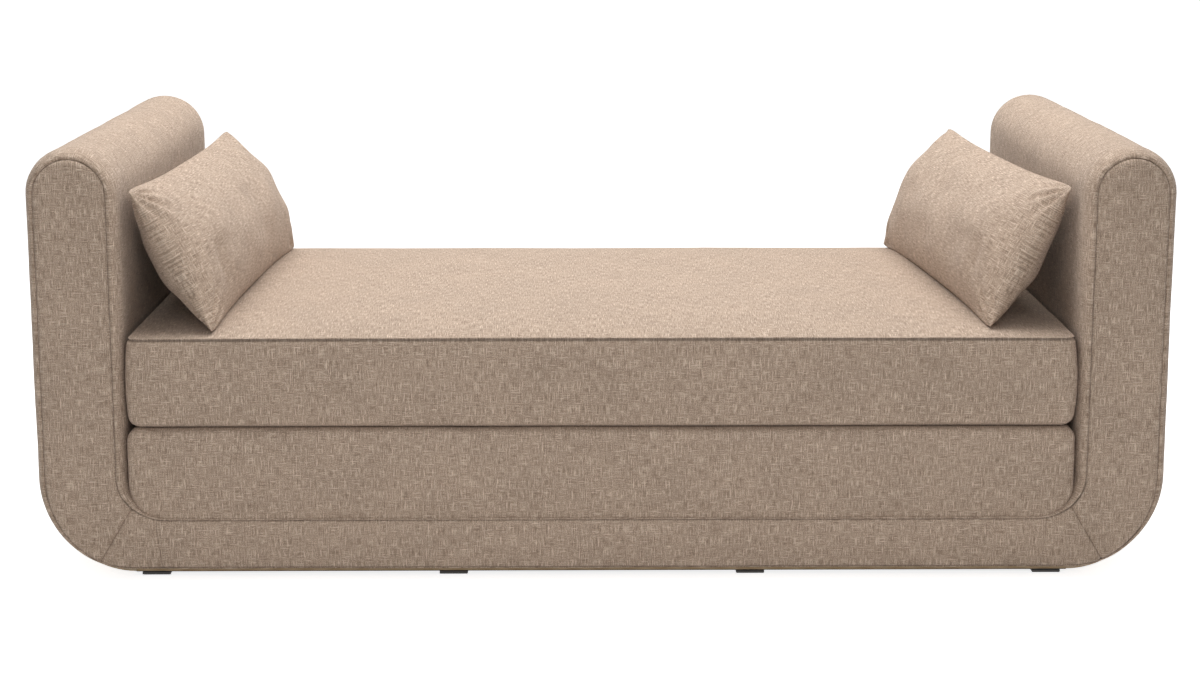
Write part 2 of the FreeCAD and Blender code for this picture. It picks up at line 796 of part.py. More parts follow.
def seat_ring(height, out, draw):
    """A level outline of the seat cushion, `out` past its seam line, its sides drawn in by `draw`."""
    x = size(SEAT_END) + out
    front, back = -size(SEAT_FRONT) - out, size(SEAT_BACK) + out
    radius = max(size("seat_corner") + out, 1)
    middle = (front + back) / 2
    turn = radius * (1 - math.sqrt(0.5))

    def at(across, along):
        return Vector(across, along, height)

    return Part.Wire(
        [
            arc_or_line(at(radius - x, front), at(0, front + draw), at(x - radius, front)),
            arc_or_line(at(x - radius, front), at(x - turn, front + turn), at(x, front + radius)),
            arc_or_line(at(x, front + radius), at(x - draw, middle), at(x, back - radius)),
            arc_or_line(at(x, back - radius), at(x - turn, back - turn), at(x - radius, back)),
            arc_or_line(at(x - radius, back), at(0, back - draw), at(radius - x, back)),
            arc_or_line(at(radius - x, back), at(turn - x, back - turn), at(-x, back - radius)),
            arc_or_line(at(-x, back - radius), at(draw - x, middle), at(-x, front + radius)),
            arc_or_line(at(-x, front + radius), at(turn - x, front + turn), at(radius - x, front)),
        ]
    )


def lining_ring(height, inset):
    """The hidden inside of the cushion's cover at one level, its corners as two flats each."""
    x = size(SEAT_END) - inset
    front, back = inset - size(SEAT_FRONT), size(SEAT_BACK) - inset
    radius = max(size("seat_corner") - inset, 1)
    turn = radius * (1 - math.sqrt(0.5))
    cut = ((radius, 0), (turn, turn), (0, radius))
    corners = [(x - across, back - along) for across, along in cut]
    corners += [(x - across, front + along) for across, along in reversed(cut)]
    corners += [(across - x, front + along) for across, along in cut]
    corners += [(across - x, back - along) for across, along in reversed(cut)]
    points = [Vector(across, along, height) for across, along in corners]
    return Part.makePolygon(points + points[:1])


def seat_body():
    """The cushion up to its seam, with a rolled lower edge and bulged sides."""
    low = size(SEAT_UNDER)
    roll = min(size("seat_under_roll"), ROLL_LIMIT * size("seat_corner"))
    rings = [seat_ring(low + roll * up, -roll * share, 0) for up, share in roll_stations()]
    rings.append(seat_ring(size(ZIP_HEIGHT), size("seat_bulge"), 0))
    rings.append(seat_ring(size(SEAT_SEAM), 0, size("seat_draw_in")))
    return Part.makeLoft(rings, True, True)


def seat_inside():
    """The space inside the cushion's boxing, a cloth's thickness in, or more at the drawn-in seam."""
    cloth = size("cloth")
    low = size(SEAT_UNDER) + cloth
    roll = min(size("seat_under_roll"), ROLL_LIMIT * size("seat_corner")) - cloth
    rings = [lining_ring(low + roll * up, cloth + roll * share) for up, share in roll_stations()]
    rings.append(lining_ring(size(ZIP_HEIGHT), cloth - size("seat_bulge")))
    rings.append(lining_ring(size(SEAT_SEAM), cloth + size("seat_draw_in")))
    return Part.makeLoft(rings, True, True)


def seat_crown(outline, inset):
    """The crowned cap above the seam outline: one long arc from front to back on a low rim,
    falling away at the ends."""
    seam = size(SEAT_SEAM)
    top, rim = seam + size("seat_crown") - inset, seam + size("seat_rim") - inset
    reach = size(SEAT_END) + OVERRUN
    front, back = -size(SEAT_FRONT) - OVERRUN, size(SEAT_BACK) + OVERRUN
    peak = Vector(-reach, (front + back) / 2, top)
    ends = Vector(-reach, front, rim), Vector(-reach, back, rim)
    feet = Vector(-reach, back, seam), Vector(-reach, front, seam)
    across = Part.Wire(
        [
            Part.Arc(ends[0], peak, ends[1]).toShape(),
            Part.makeLine(ends[1], feet[0]),
            Part.makeLine(feet[0], feet[1]),
            Part.makeLine(feet[1], ends[0]),
        ]
    )
    barrel = Part.Face(across).extrude(Vector(2 * reach, 0, 0))

    run = size("seat_crown_run")
    drop = size("seat_crown - seat_end_crown")
    above = top + OVERRUN / 2
    along = [
        Vector(reach, front, seam),
        Vector(reach, front, top - drop),
        Vector(reach - run / 2, front, above - drop / 4),
        Vector(reach - run, front, above),
    ]
    mirrored = [Vector(-point.x, point.y, point.z) for point in along]
    sides = Part.Wire(
        [
            Part.makeLine(along[0], along[1]),
            Part.Arc(*along[1:]).toShape(),
            Part.makeLine(along[3], mirrored[3]),
            Part.Arc(*reversed(mirrored[1:])).toShape(),
            Part.makeLine(mirrored[1], mirrored[0]),
            Part.makeLine(mirrored[0], along[0]),
        ]
    )
    falling_ends = Part.Face(sides).extrude(Vector(0, back - front, 0))
    return barrel.common([falling_ends, Part.Face(outline).extrude(Vector(0, 0, MARGIN))])


def make_seat_cushion():
    """Cover panels, fibre wadding and foam core of the loose seat cushion."""
    cloth = size("cloth")
    seam = size(SEAT_SEAM)
    crown = seat_crown(seat_ring(seam, 0, size("seat_draw_in")), 0)
    inner_crown = seat_crown(lining_ring(seam, cloth + size("seat_draw_in")), cloth)
    filled = seat_inside()
    shell = seat_body().cut(filled)
    inset = size("bottom_panel_inset")
    low = size(SEAT_UNDER)
    reach = size(SEAT_END) - inset
    floor_part = block(
        (-reach, inset - size(SEAT_FRONT), low - 1), (reach, size(SEAT_BACK) - inset, low + 2 * cloth)
    )
    half, width = size("zip_length / 2"), size("zip_width / 2")
    height, tape = size(ZIP_HEIGHT), size(TAPE_OUTSIDE)
    slot = block((-half, 0, height - width), (half, size(HALF_DEPTH), height + width))
    piece("seat_top_panel", crown.cut(inner_crown))
    piece("seat_bottom_panel", shell.common(floor_part))
    piece("seat_boxing", shell.cut([floor_part, slot]))
    wrap = cloth + size("wadding")
    core = block(
        (wrap - size(SEAT_END), wrap - size(SEAT_FRONT), low + wrap),
        (size(SEAT_END) - wrap, size(SEAT_BACK) - wrap, seam - size("wadding") / 2),
    )
    piece("seat_foam_core", core)
    behind_tape = block(
        (-half, tape - size("zip_tape"), height - width), (half, size(HALF_DEPTH), height + width)
    )
    piece("seat_wadding", filled.fuse(inner_crown).removeSplitter().cut([core, behind_tape]))
    return crown


def make_zip():
    """Zip in the back of the cushion: tape, chain, slider and the pull hinged on it."""
    width, chain = "(zip_width - 2 * contact_gap)", "chain_width"
    box_piece(
        "seat_zip_tape",
        ("contact_gap - zip_length / 2", f"{TAPE_OUTSIDE} - zip_tape", f"{ZIP_HEIGHT} - {width} / 2"),
        ("zip_length - 2 * contact_gap", "zip_tape", width),
    )
    box_piece(
        "seat_zip_chain",
        ("contact_gap - zip_length / 2", TAPE_OUTSIDE, f"{ZIP_HEIGHT} - {chain} / 2"),
        ("zip_length - 2 * contact_gap", "chain_thickness", chain),
    )
    length = size("slider_length")
    gap, half = size("slider_clearance"), size("slider_width / 2")
    start, level = size(SLIDER_START), size(ZIP_HEIGHT)
    tape = size(TAPE_OUTSIDE)
    top = size(SLIDER_OUTSIDE)
    over = block((start - length / 2, tape + gap, level - half), (start + length / 2, top, level + half))
    channel_half = size("chain_width / 2") + gap
    channel = block(
        (start - length, tape, level - channel_half),
        (start + length, size(CHAIN_OUTSIDE) + gap, level + channel_half),
    )
    pin_y = size(PIN_PLACE)
    lug, pin = size("slider_lug"), size("pin_radius")
    parts = [over.cut(channel)]
    for way in (-1, 1):
        outer = level + way * (half - lug / 2)
        parts.append(
            block(
                (start - 2 * pin, top - lug / 4, outer - lug / 2),
                (start + 2 * pin, pin_y + 2 * pin, outer + lug / 2),
            )
        )
    parts.append(Part.makeCylinder(pin, 2 * half, Vector(start, pin_y, level - half), Vector(0, 0, 1)))
    piece("seat_zip_slider", parts[0].fuse(parts[1:]).removeSplitter())

    thick = size("pull_thickness / 2")
    eye = 2 * pin
    neck = half - lug - gap
    reach, wide = size("pull_length"), size("pull_width / 2")
    waist, shoulder, corner = size("pull_neck"), size("pull_shoulder"), size("pull_corner")
    outline = (
        (0, -neck, 0),
        (waist, -neck, 0),
        (shoulder, -wide, 0),
        (reach, -wide, corner),
        (reach, wide, corner),
        (shoulder, wide, 0),
        (waist, neck, 0),
        (0, neck, 0),
    )
    leaf = rounded_face(outline)
    leaf.translate(Vector(start, pin_y - thick, level))
    pull = leaf.extrude(Vector(0, 2 * thick, 0)).fuse(
        Part.makeCylinder(eye, 2 * neck, Vector(start, pin_y, level - neck), Vector(0, 0, 1))
    )
    bore = Part.makeCylinder(
        pin + size("pin_clearance"), 4 * half, Vector(start, pin_y, level - 2 * half), Vector(0, 0, 1)
    )
    piece("seat_zip_pull", pull.cut(bore).removeSplitter())


def pillow_half(inset, way):
    """One swelling half of a pillow in its own frame: length along Y, width along Z, its seam in
    the plane X = 0, and `way` 1 or -1 the side that it swells to. Two arched prisms that cross at
    a small angle draw the cover's long sides in between its corners, and its ends fall to a knife
    edge. The filling keeps to its waist, as a plain arched prism."""
    less = size("cloth") if inset else 0
    thick, full = size("pillow_thickness / 2") - less, size("pillow_end_fullness") - less
    long_half = size("pillow_length / 2") - inset
    wide = size("pillow_width / 2") - inset
    waist = wide - size("pillow_draw_in")
    ends = Vector(0, 0, -waist), Vector(0, 0, waist)
    arch = Part.Arc(ends[0], Vector(way * thick, 0, 0), ends[1]).toShape()
    arch = Part.Face(Part.Wire([arch, Part.makeLine(ends[1], ends[0])]))
    arch.translate(Vector(0, -2 * long_half, 0))
    prism = arch.extrude(Vector(0, 4 * long_half, 0))
    swelling = prism
    if not inset:
        slant = math.degrees(math.atan((wide - waist) / long_half))
        pair = [prism.copy().rotate(Vector(0, 0, 0), Vector(1, 0, 0), turn) for turn in (slant, -slant)]
        swelling = pair[0].fuse(pair[1])

    run, under = size("pillow_end_run"), -size("pillow_width")
    rise, top = run * (1 - math.sqrt(0.5)), way * (thick + OVERRUN)
    outline = (
        Vector(0, -long_half, under),
        Vector(way * full * math.sqrt(0.5), rise - long_half, under),
        Vector(way * full, run - long_half, under),
        Vector(top, 2 * run - long_half, under),
    )
    far = [Vector(point.x, -point.y, point.z) for point in outline]
    edges = [
        Part.Arc(*outline[:3]).toShape(),
        Part.makeLine(outline[2], outline[3]),
        Part.makeLine(outline[3], far[3]),
        Part.makeLine(far[3], far[2]),
        Part.Arc(*reversed(far[:3])).toShape(),
        Part.makeLine(far[0], outline[0]),
    ]
    falling_ends = Part.Face(Part.Wire(edges)).extrude(Vector(0, 0, -2 * under))
    return swelling.common(falling_ends)


def settle(shape, support, gap):
    """How far a shape drops until it lies `gap` above its support."""
    dropped = 0
    resting = shape.copy()
    for _ in range(SETTLE_STEPS):
        spare = resting.distToShape(support)[0] - gap
        if spare < SETTLE_CLOSENESS:
            break
        resting.translate(Vector(0, 0, -spare))
        dropped += spare
    return dropped


def make_pillows(crown):
    """Two knife-edge pillows, each leaning on its arm and resting on the crowned seat."""
    seam = size("pillow_seam")
    for name, side, _ in ARMS:
        front, back = (pillow_half(0, way) for way in (-side, side))
        front_fill, back_fill = (pillow_half(seam, way) for way in (-side, side))
        lean = Rotation(Vector(0, 1, 0), side * size("pillow_lean"))
        turn = Rotation(Vector(0, 0, 1), side * size(f"{name}_pillow_turn"))
        pose = Placement(Vector(0, 0, 0), turn.multiply(lean))
        shapes = {
            f"pillow_{name}_front": front.cut(front_fill),
            f"pillow_{name}_back": back.cut(back_fill),
            f"pillow_{name}_filling": front_fill.fuse(back_fill).removeSplitter(),
        }
        whole = front.fuse(back)
        for shape in (whole, *shapes.values()):
            shape.Placement = pose
        room = whole.optimalBoundingBox(False)
        reach = room.XMax if side > 0 else -room.XMin
        shift = Vector(
            side * (size(ARM_FACE) - size("contact_gap") - reach),
            size(f"{name}_pillow_place"),
            size(SEAT_SEAM) + size("seat_crown") - room.ZMin,
        )
        whole.translate(shift)
        shift.z -= settle(whole, crown, size("contact_gap"))
        for label, shape in shapes.items():
            shape.translate(shift)
            piece(label, shape)


def check_and_write():
    """Stops on any failed object or bad shape, then writes one STEP file for each sub-part."""
    document.recompute()
    for thing in document.Objects:
        if "Invalid" in thing.State or "Error" in thing.State:
            raise ValueError(f"{thing.Label} failed: {thing.State}")
    bad = [
        node.Label
        for node in nodes
        if node.Shape.isNull() or not node.Shape.isValid() or not node.Shape.Solids
    ]
    if bad:
        raise ValueError(f"these sub-parts have no valid shape: {bad}")
    os.makedirs("parts", exist_ok=True)
    for node in nodes:
        node.Shape.exportStep(os.path.join("parts", node.Label + ".step"))
    print(len(nodes), "sub-parts written")


band_inside = make_band_covers()
make_band_foam(band_inside)
make_arm_frames()
make_base_frame()
make_underside()
make_deck_soft()
make_deck_frame()
make_webbing()
make_deck_screws()
seat_top = make_seat_cushion()
make_zip()
make_pillows(seat_top)
check_and_write()
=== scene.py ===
import math
import typing

import bmesh
import bpy
import numpy as np
from mathutils import Euler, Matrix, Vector, noise


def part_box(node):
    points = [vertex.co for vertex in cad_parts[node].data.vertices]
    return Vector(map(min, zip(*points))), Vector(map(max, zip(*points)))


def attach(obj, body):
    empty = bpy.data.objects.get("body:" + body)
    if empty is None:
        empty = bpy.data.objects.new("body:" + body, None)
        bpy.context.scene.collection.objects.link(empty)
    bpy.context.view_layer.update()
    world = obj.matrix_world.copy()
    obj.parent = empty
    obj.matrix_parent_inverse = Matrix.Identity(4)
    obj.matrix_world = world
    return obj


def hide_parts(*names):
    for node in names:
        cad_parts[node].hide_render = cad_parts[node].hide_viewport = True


bl_info = {
    "name": "Backless divan looks",
    "version": (1, 0, 0),
    "blender": (4, 5, 0),
    "location": "3D View > Sidebar > Divan",
    "description": "Upholsters and finishes a backless divan round its frame",
    "category": "Object",
}

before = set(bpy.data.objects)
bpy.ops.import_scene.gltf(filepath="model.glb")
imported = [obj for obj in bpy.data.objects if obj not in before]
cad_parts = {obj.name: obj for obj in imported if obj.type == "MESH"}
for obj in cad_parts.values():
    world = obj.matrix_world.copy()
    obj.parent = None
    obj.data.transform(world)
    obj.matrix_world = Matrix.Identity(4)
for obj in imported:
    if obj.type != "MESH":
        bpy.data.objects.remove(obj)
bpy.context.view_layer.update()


def joint_box(*names):
    """The lowest and highest corners of several nodes together."""
    boxes = [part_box(name) for name in names]
    low = np.min([np.array(low) for low, _ in boxes], axis=0)
    high = np.max([np.array(high) for _, high in boxes], axis=0)
    return low, high


# Boxes of the frame's nodes, in metres, that the soft pieces are built round
BAND_LOW, BAND_HIGH = joint_box("arm_cover_left", "arm_cover_right")
DECK_LOW, DECK_HIGH = joint_box("deck_cover")
SEAT_LOW, SEAT_HIGH = joint_box("seat_boxing", "seat_bottom_panel")
CROWN_LOW, CROWN_HIGH = joint_box("seat_top_panel")
TAPE_LOW, TAPE_HIGH = joint_box("seat_zip_tape")
CHAIN_LOW, CHAIN_HIGH = joint_box("seat_zip_chain")


def length(name, description, default):
    """A size in metres."""
    return bpy.props.FloatProperty(name=name, description=description, default=default, unit="LENGTH")


def angle(name, description, degrees):
    """A turn, given here in degrees."""
    turn = math.radians(degrees)
    return bpy.props.FloatProperty(name=name, description=description, default=turn, subtype="ANGLE")


def colour(name, description, default):
    """A colour as linear shares of red, green and blue."""
    return bpy.props.FloatVectorProperty(
        name=name, description=description, default=default, size=3, subtype="COLOR"
    )


class DivanLooks(bpy.types.PropertyGroup):
    """Sizes and colours of the soft parts that someone may want to change."""

    arm_thickness: length("Arm thickness", "Width of each arm across the divan", 0.16)
    outer_corner: length("Outer corner", "Radius of the band's lower outer corners", 0.165)
    inner_corner: length("Inner corner", "Radius where an arm meets the base", 0.068)
    base_height: length("Base height", "Height of the band under the deck", 0.098)
    roll_depth: length("Roll depth", "How far the band's rolled edge reaches back", 0.044)
    arm_seam_inset: length("Arm seam inset", "From an arm's side to the front seam", 0.018)
    base_seam_inset: length("Base seam inset", "From the base's edges to the front seam", 0.006)
    panel_dome: length("Panel dome", "How far the front panels swell", 0.005)
    seam_depth: length("Seam depth", "Depth of the valley at a plain seam", 0.0032)
    deck_roll: length("Deck roll", "Roundness of the deck's front edges", 0.015)
    deck_lower_corner: length("Deck lower corner", "Radius of the deck's lower corners", 0.065)
    deck_upper_corner: length("Deck upper corner", "Radius of the deck's upper corners", 0.022)
    arm_reach: length("Reach to the arms", "Half length of seat and deck", 0.829)
    seat_corner: length("Seat corner", "Radius of the seat cushion's upright corners", 0.02)
    seat_bulge: length("Seat bulge", "How far the cushion's sides swell", 0.005)
    seat_roll: length("Seat roll", "Radius of the cushion's lower edges", 0.02)
    seat_rim: length("Seat rim", "Height of the top panel's edge over its seam", 0.0035)
    pillow_length: length("Pillow length", "Between a pillow's short seams", 0.844)
    pillow_width: length("Pillow width", "Between a pillow's long seams", 0.294)
    pillow_thickness: length("Pillow thickness", "At a pillow's middle", 0.136)
    pillow_lean: angle("Pillow lean", "How far the pillows lean", 29)
    left_pillow_turn: angle("Left pillow turn", "Turn seen from above", 2.2)
    right_pillow_turn: angle("Right pillow turn", "Turn seen from above", 4.8)
    cloth_colour: colour("Cloth", "Main thread of the linen", (0.50, 0.375, 0.284))
    slub_colour: colour("Slub", "Thick pale thread", (0.74, 0.60, 0.48))
    shade_colour: colour("Shade", "Between the threads", (0.27, 0.192, 0.138))


def looks():
    """The sizes and colours as the scene holds them now."""
    return bpy.context.scene.divan_looks


# Meshes

WELD = 2e-5  # points nearer than this are one point where two panels meet
NEAR_SEAM = np.array([0.0015, 0.0035, 0.007, 0.013])  # rows beside a seam, in metres from it


def add_piece(name, points, faces, uvs, body, stands_for, painted_shade=None):
    """A linen piece at the origin that rides on a body. uvs hold one pair for each face corner, and
    the last argument holds how much painted shade darkens each point, standing in for the shadow in a seam's
    valley."""
    mesh = bpy.data.meshes.new(name)
    mesh.from_pydata([tuple(point) for point in points], [], faces)
    layer = mesh.uv_layers.new(name="cloth_metres")
    flat = np.array([pair for face in uvs for pair in face], np.float32).ravel()
    layer.data.foreach_set("uv", flat)
    # painted shade: a point attribute that darkens the cloth where the shadow of a seam's valley would fall
    if painted_shade is not None:
        layer = mesh.attributes.new("painted_seam_shade", "FLOAT", "POINT")
        layer.data.foreach_set("value", np.array(painted_shade, np.float32))
    mesh.polygons.foreach_set("use_smooth", [True] * len(mesh.polygons))
    mesh.materials.append(linen())
    mesh.validate()
    piece = bpy.data.objects.new(name, mesh)
    bpy.context.scene.collection.objects.link(piece)
    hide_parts(*stands_for)
    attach(piece, body)
    weld_panels(mesh)
    return piece


def weld_panels(mesh):
    """Joins points that meet at a seam and turns all faces outwards; the corners keep their UVs."""
    work = bmesh.new()
    work.from_mesh(mesh)
    bmesh.ops.remove_doubles(work, verts=work.verts, dist=WELD)
    bmesh.ops.dissolve_degenerate(work, dist=1e-6, edges=work.edges)
    bmesh.ops.recalc_face_normals(work, faces=work.faces)
    work.to_mesh(mesh)
    work.free()
    mesh.update()


def strip_faces(rows, columns, closed, first=0):
    """Quads of a grid whose points run row after row; closed joins the last column to the first."""
    faces = []
    span = columns if closed else columns - 1
    for row in range(rows - 1):
        for column in range(span):
            after = (column + 1) % columns
            a, b = first + row * columns + column, first + row * columns + after
            faces.append((a, b, b + columns, a + columns))
    return faces


def uneven(piece, swells, share_at=lambda place: 1):
    """Moves a cloth's points along their normals by smooth noise, as stuffing under it does. Each
    swell is a depth, a stretch and a seed, and share_at says how much of it a place takes."""
    mesh = piece.data
    for depth, stretch, seed in swells:
        normals = [vertex.normal.copy() for vertex in mesh.vertices]
        for vertex, normal in zip(mesh.vertices, normals):
            place = vertex.co / stretch + Vector((seed, 0, 0))
            vertex.co += normal * depth * share_at(vertex.co) * noise.noise(place)
        mesh.update()


def steps(first, last, spacing, seam_first=False, seam_last=False):
    """Places from first to last, at most spacing apart, closer beside a seam."""
    places = [first]
    start, end = first, last
    if seam_first:
        places += list(first + NEAR_SEAM)
        start = first + NEAR_SEAM[-1]
    if seam_last:
        end = last - NEAR_SEAM[-1]
    count = max(math.ceil((end - start) / spacing), 1)
    places += list(np.linspace(start, end, count + 1)[1:])
    if seam_last:
        places += list(last - NEAR_SEAM[::-1][1:]) + [last]
    return np.array(places)


def lengths_along(curve):
    """The distance of each point of a polyline from its start, along it."""
    return np.concatenate([[0], np.cumsum(np.linalg.norm(np.diff(curve, axis=0), axis=1))])


def arc(centre, across, up, start, end, count=60):
    """Part of an ellipse about a centre, its turn measured from straight down towards +X."""
    turns = np.linspace(start, end, count)
    return np.stack([centre[0] + across * np.sin(turns), centre[1] - up * np.cos(turns)], axis=1)


def upright(flat, place):
    """Points of a front view (across, up) set at a place along the depth."""
    return np.stack([flat[:, 0], np.full(len(flat), place), flat[:, 1]], axis=1)


# The band: both arms and the base in one sewn cover

PULL_OUTSIDE = 0.772  # where the short upright seam meets the base's lower edge, from the middle
PULL_TURN = math.radians(13)  # where it meets the inner corner
MITRE_INSIDE = math.radians(45)  # where the mitre seam meets the inner corner
MITRE_OUTSIDE = math.radians(22)  # where it meets the outer corner
STATION_SPACING = (0.022, 0.012, 0.012, 0.022, 0.0125)  # base, both sides of the mitre, arm, crown
PANEL_COLUMNS = np.array([0, 0.012, 0.028, 0.052, 0.09, 0.15, 0.23, 0.33, 0.43, 0.5])
PANEL_COLUMNS = np.concatenate([PANEL_COLUMNS, 1 - PANEL_COLUMNS[-2::-1]])  # shares of a panel's width
ROLL_TURNS = np.radians([0, 4, 9, 16, 25, 36, 48, 62, 76, 90])
BAND_ROWS = 20  # loops along the depth between the two rolls
SEAM_WIDTH = 0.0022
FULL_DOME = 0.06  # panels narrower than this swell less
ALLOWANCE = 0.0065  # from the arm's seam to the faint line of its turned allowance
ALLOWANCE_DEPTH, ALLOWANCE_WIDTH = 0.0011, 0.0016
ARM_FROM, ARM_RUN = 0.2, 0.05  # the allowance shows above this height, fully after this run
CROSS_SEAMS = (("mitre", 0.0034), ("pull", 0.002))  # seams across a panel and their depths
CROSS_SEAM_WIDTH = 0.0024
RIDGE_HEIGHT, RIDGE_PLACE, RIDGE_WIDTH = 0.0014, 0.012, 0.008  # cloth swells beside a cross seam
PULL_CENTRE = (0.74, 0.2)  # the tension folds of a lower corner fan out from here
FOLD_HEIGHT, FOLD_REACH, FOLD_RATE = 0.0016, 0.075, 16
GATHER_HEIGHT, GATHER_PITCH, GATHER_REACH = 0.0012, 0.014, 0.012
GATHER_FROM = 0.001  # none in the seam itself
ROW_LENGTH = 0.02  # rough distance between stations, which spreads the gathers
EDGE_PAINTED_SHADE, MITRE_PAINTED_SHADE, PULL_PAINTED_SHADE = 0.55, 0.6, 0.3  # painted shade in the seams' valleys, 0 to 1
# how far the painted shade of a seam spreads to each side
PAINTED_SHADE_WIDTH = 0.0012
BAND_SWELLS = ((0.0022, 0.16, 2.0), (0.0006, 0.035, 9.0))  # depth, stretch and seed of the noise
CRISP_SHARE, CRISP_RUN = 0.35, 0.08  # the noise's share at an end seam, and how slowly it grows


def half_outlines(side, base):
    """The right half's outer and inner outlines in front view, from the middle to the arm's apex,
    drawn in by side at the arm and by base at the base."""
    look = looks()
    right, top, low = BAND_HIGH[0], BAND_HIGH[2], BAND_LOW[2]
    crown = look.arm_thickness / 2
    centre = (right - crown, top - crown)
    outer_turn = (right - look.outer_corner, low + look.outer_corner)
    shelf = low + look.base_height
    inner_turn = (right - look.arm_thickness - look.inner_corner, shelf + look.inner_corner)
    radius, quarter = crown - side, math.pi / 2
    outer = [
        [(0, low + base)],
        arc(outer_turn, look.outer_corner - side, look.outer_corner - base, 0, quarter),
        arc(centre, radius, radius, quarter, math.pi),
    ]
    inner = [
        [(0, shelf - base)],
        arc(inner_turn, look.inner_corner + side, look.inner_corner + base, 0, quarter),
        arc(centre, -radius, radius, quarter, math.pi),
    ]
    return np.concatenate(outer), np.concatenate(inner)


def band_stations():
    """Matching lengths along the right half's outer and inner outlines, and where its seams are."""
    look = looks()
    outer, inner = half_outlines(0.0, 0.0)
    crown = look.arm_thickness / 2
    corner_outer, corner_inner = look.outer_corner, look.inner_corner
    base_outer = BAND_HIGH[0] - corner_outer
    base_inner = BAND_HIGH[0] - look.arm_thickness - corner_inner
    arm_outer = base_outer + corner_outer * math.pi / 2
    arm_inner = base_inner + corner_inner * math.pi / 2
    straight_outer = BAND_HIGH[2] - crown - (BAND_LOW[2] + corner_outer)
    straight_inner = BAND_HIGH[2] - crown - (BAND_LOW[2] + look.base_height + corner_inner)
    pairs = (
        (0.0, 0.0),
        (PULL_OUTSIDE, base_inner + corner_inner * PULL_TURN),
        (base_outer + corner_outer * MITRE_OUTSIDE, base_inner + corner_inner * MITRE_INSIDE),
        (arm_outer, arm_inner),
        (arm_outer + straight_outer, arm_inner + straight_inner),
        (lengths_along(outer)[-1], lengths_along(inner)[-1]),
    )
    seam_at_end = {0: "pull", 1: "mitre"}
    stations, seams = [], {}
    for number, (start, end, spacing) in enumerate(zip(pairs, pairs[1:], STATION_SPACING)):
        places = steps(start[0], end[0], spacing, number - 1 in seam_at_end, number in seam_at_end)
        share = (places - start[0]) / (end[0] - start[0])
        matched = start[1] + share * (end[1] - start[1])
        skip = 1 if number else 0
        stations += list(zip(places[skip:], matched[skip:]))
        if number in seam_at_end:
            seams[seam_at_end[number]] = len(stations) - 1
    return np.array(stations), seams


def matched_outlines(side, base, stations):
    """Both outlines at the stations, the same share along each stretch whatever the inset."""
    result = []
    for plain, drawn, places in zip(half_outlines(0.0, 0.0), half_outlines(side, base), stations.T):
        index = np.interp(places, lengths_along(plain), np.arange(len(plain)))
        numbers = np.arange(len(drawn))
        result.append(np.stack([np.interp(index, numbers, axis) for axis in drawn.T], axis=1))
    return result


def groove(distance, depth, width=SEAM_WIDTH):
    """Depth of a seam's valley at a distance from it."""
    return depth * np.exp(-((distance / width) ** 2))


def panel_relief(grid, width, seams):
    """How far a panel's points stand out from its flat face: dome, seams and ridges."""
    look = looks()
    edge = np.minimum(PANEL_COLUMNS, 1 - PANEL_COLUMNS)[None, :] * width
    across = 1 - np.abs(2 * PANEL_COLUMNS - 1)[None, :] ** 3
    out = look.panel_dome * across * np.minimum(width / FULL_DOME, 1) - groove(edge, look.seam_depth)
    on_arm = np.clip((grid[:, :, 1] - ARM_FROM) / ARM_RUN, 0, 1)
    inside = (1 - PANEL_COLUMNS)[None, :] * width
    out -= on_arm * groove(inside - ALLOWANCE, ALLOWANCE_DEPTH, ALLOWANCE_WIDTH)
    for name, depth in CROSS_SEAMS:
        away = np.hypot(*np.moveaxis(grid - grid[seams[name]][None, :, :], 2, 0))
        ridge = RIDGE_HEIGHT * depth / CROSS_SEAMS[0][1]
        out -= groove(away, depth, CROSS_SEAM_WIDTH)
        out += groove(away - RIDGE_PLACE, ridge, RIDGE_WIDTH)
    return out, edge


def band_panel(stations, seams, way):
    """One end of the band's right half: its points, their places on the cloth and the painted shade at its
    seams.
    """
    look = looks()
    outer, inner = matched_outlines(look.arm_seam_inset, look.base_seam_inset, stations)
    face = BAND_LOW[1] if way < 0 else BAND_HIGH[1]
    columns = PANEL_COLUMNS[None, :, None]
    grid = outer[:, None, :] * (1 - columns) + inner[:, None, :] * columns
    relief, edge = panel_relief(grid, np.hypot(*(outer - inner).T)[:, None], seams)
    mitre = grid[seams["mitre"]].mean(axis=0)
    row_painted_shade = {seams["mitre"]: MITRE_PAINTED_SHADE, seams["pull"]: PULL_PAINTED_SHADE}
    points, painted_shade = [], []
    for row, column in np.ndindex(edge.shape):
        x, z = grid[row, column]
        near_mitre = math.exp(-(((x - mitre[0]) ** 2 + (z - mitre[1]) ** 2) / FOLD_REACH**2))
        ray = math.atan2(z - PULL_CENTRE[1], x - PULL_CENTRE[0])
        fold = noise.noise(Vector((ray * FOLD_RATE, way * 5.0, 3.0)))
        out = relief[row, column] + FOLD_HEIGHT * near_mitre * fold
        away = edge[row, column]
        if away > GATHER_FROM:
            gather = noise.noise(Vector((row * ROW_LENGTH / GATHER_PITCH, way * 3.0, 0.0)))
            out += GATHER_HEIGHT * gather * math.exp(-away / GATHER_REACH)
        points.append((x, face + way * out, z))
        # painted shade: darkest in the seams, where their valleys' shadow would fall
        painted_shade.append(max(row_painted_shade.get(row, 0), groove(away, EDGE_PAINTED_SHADE, PAINTED_SHADE_WIDTH)))
    return points, painted_shade


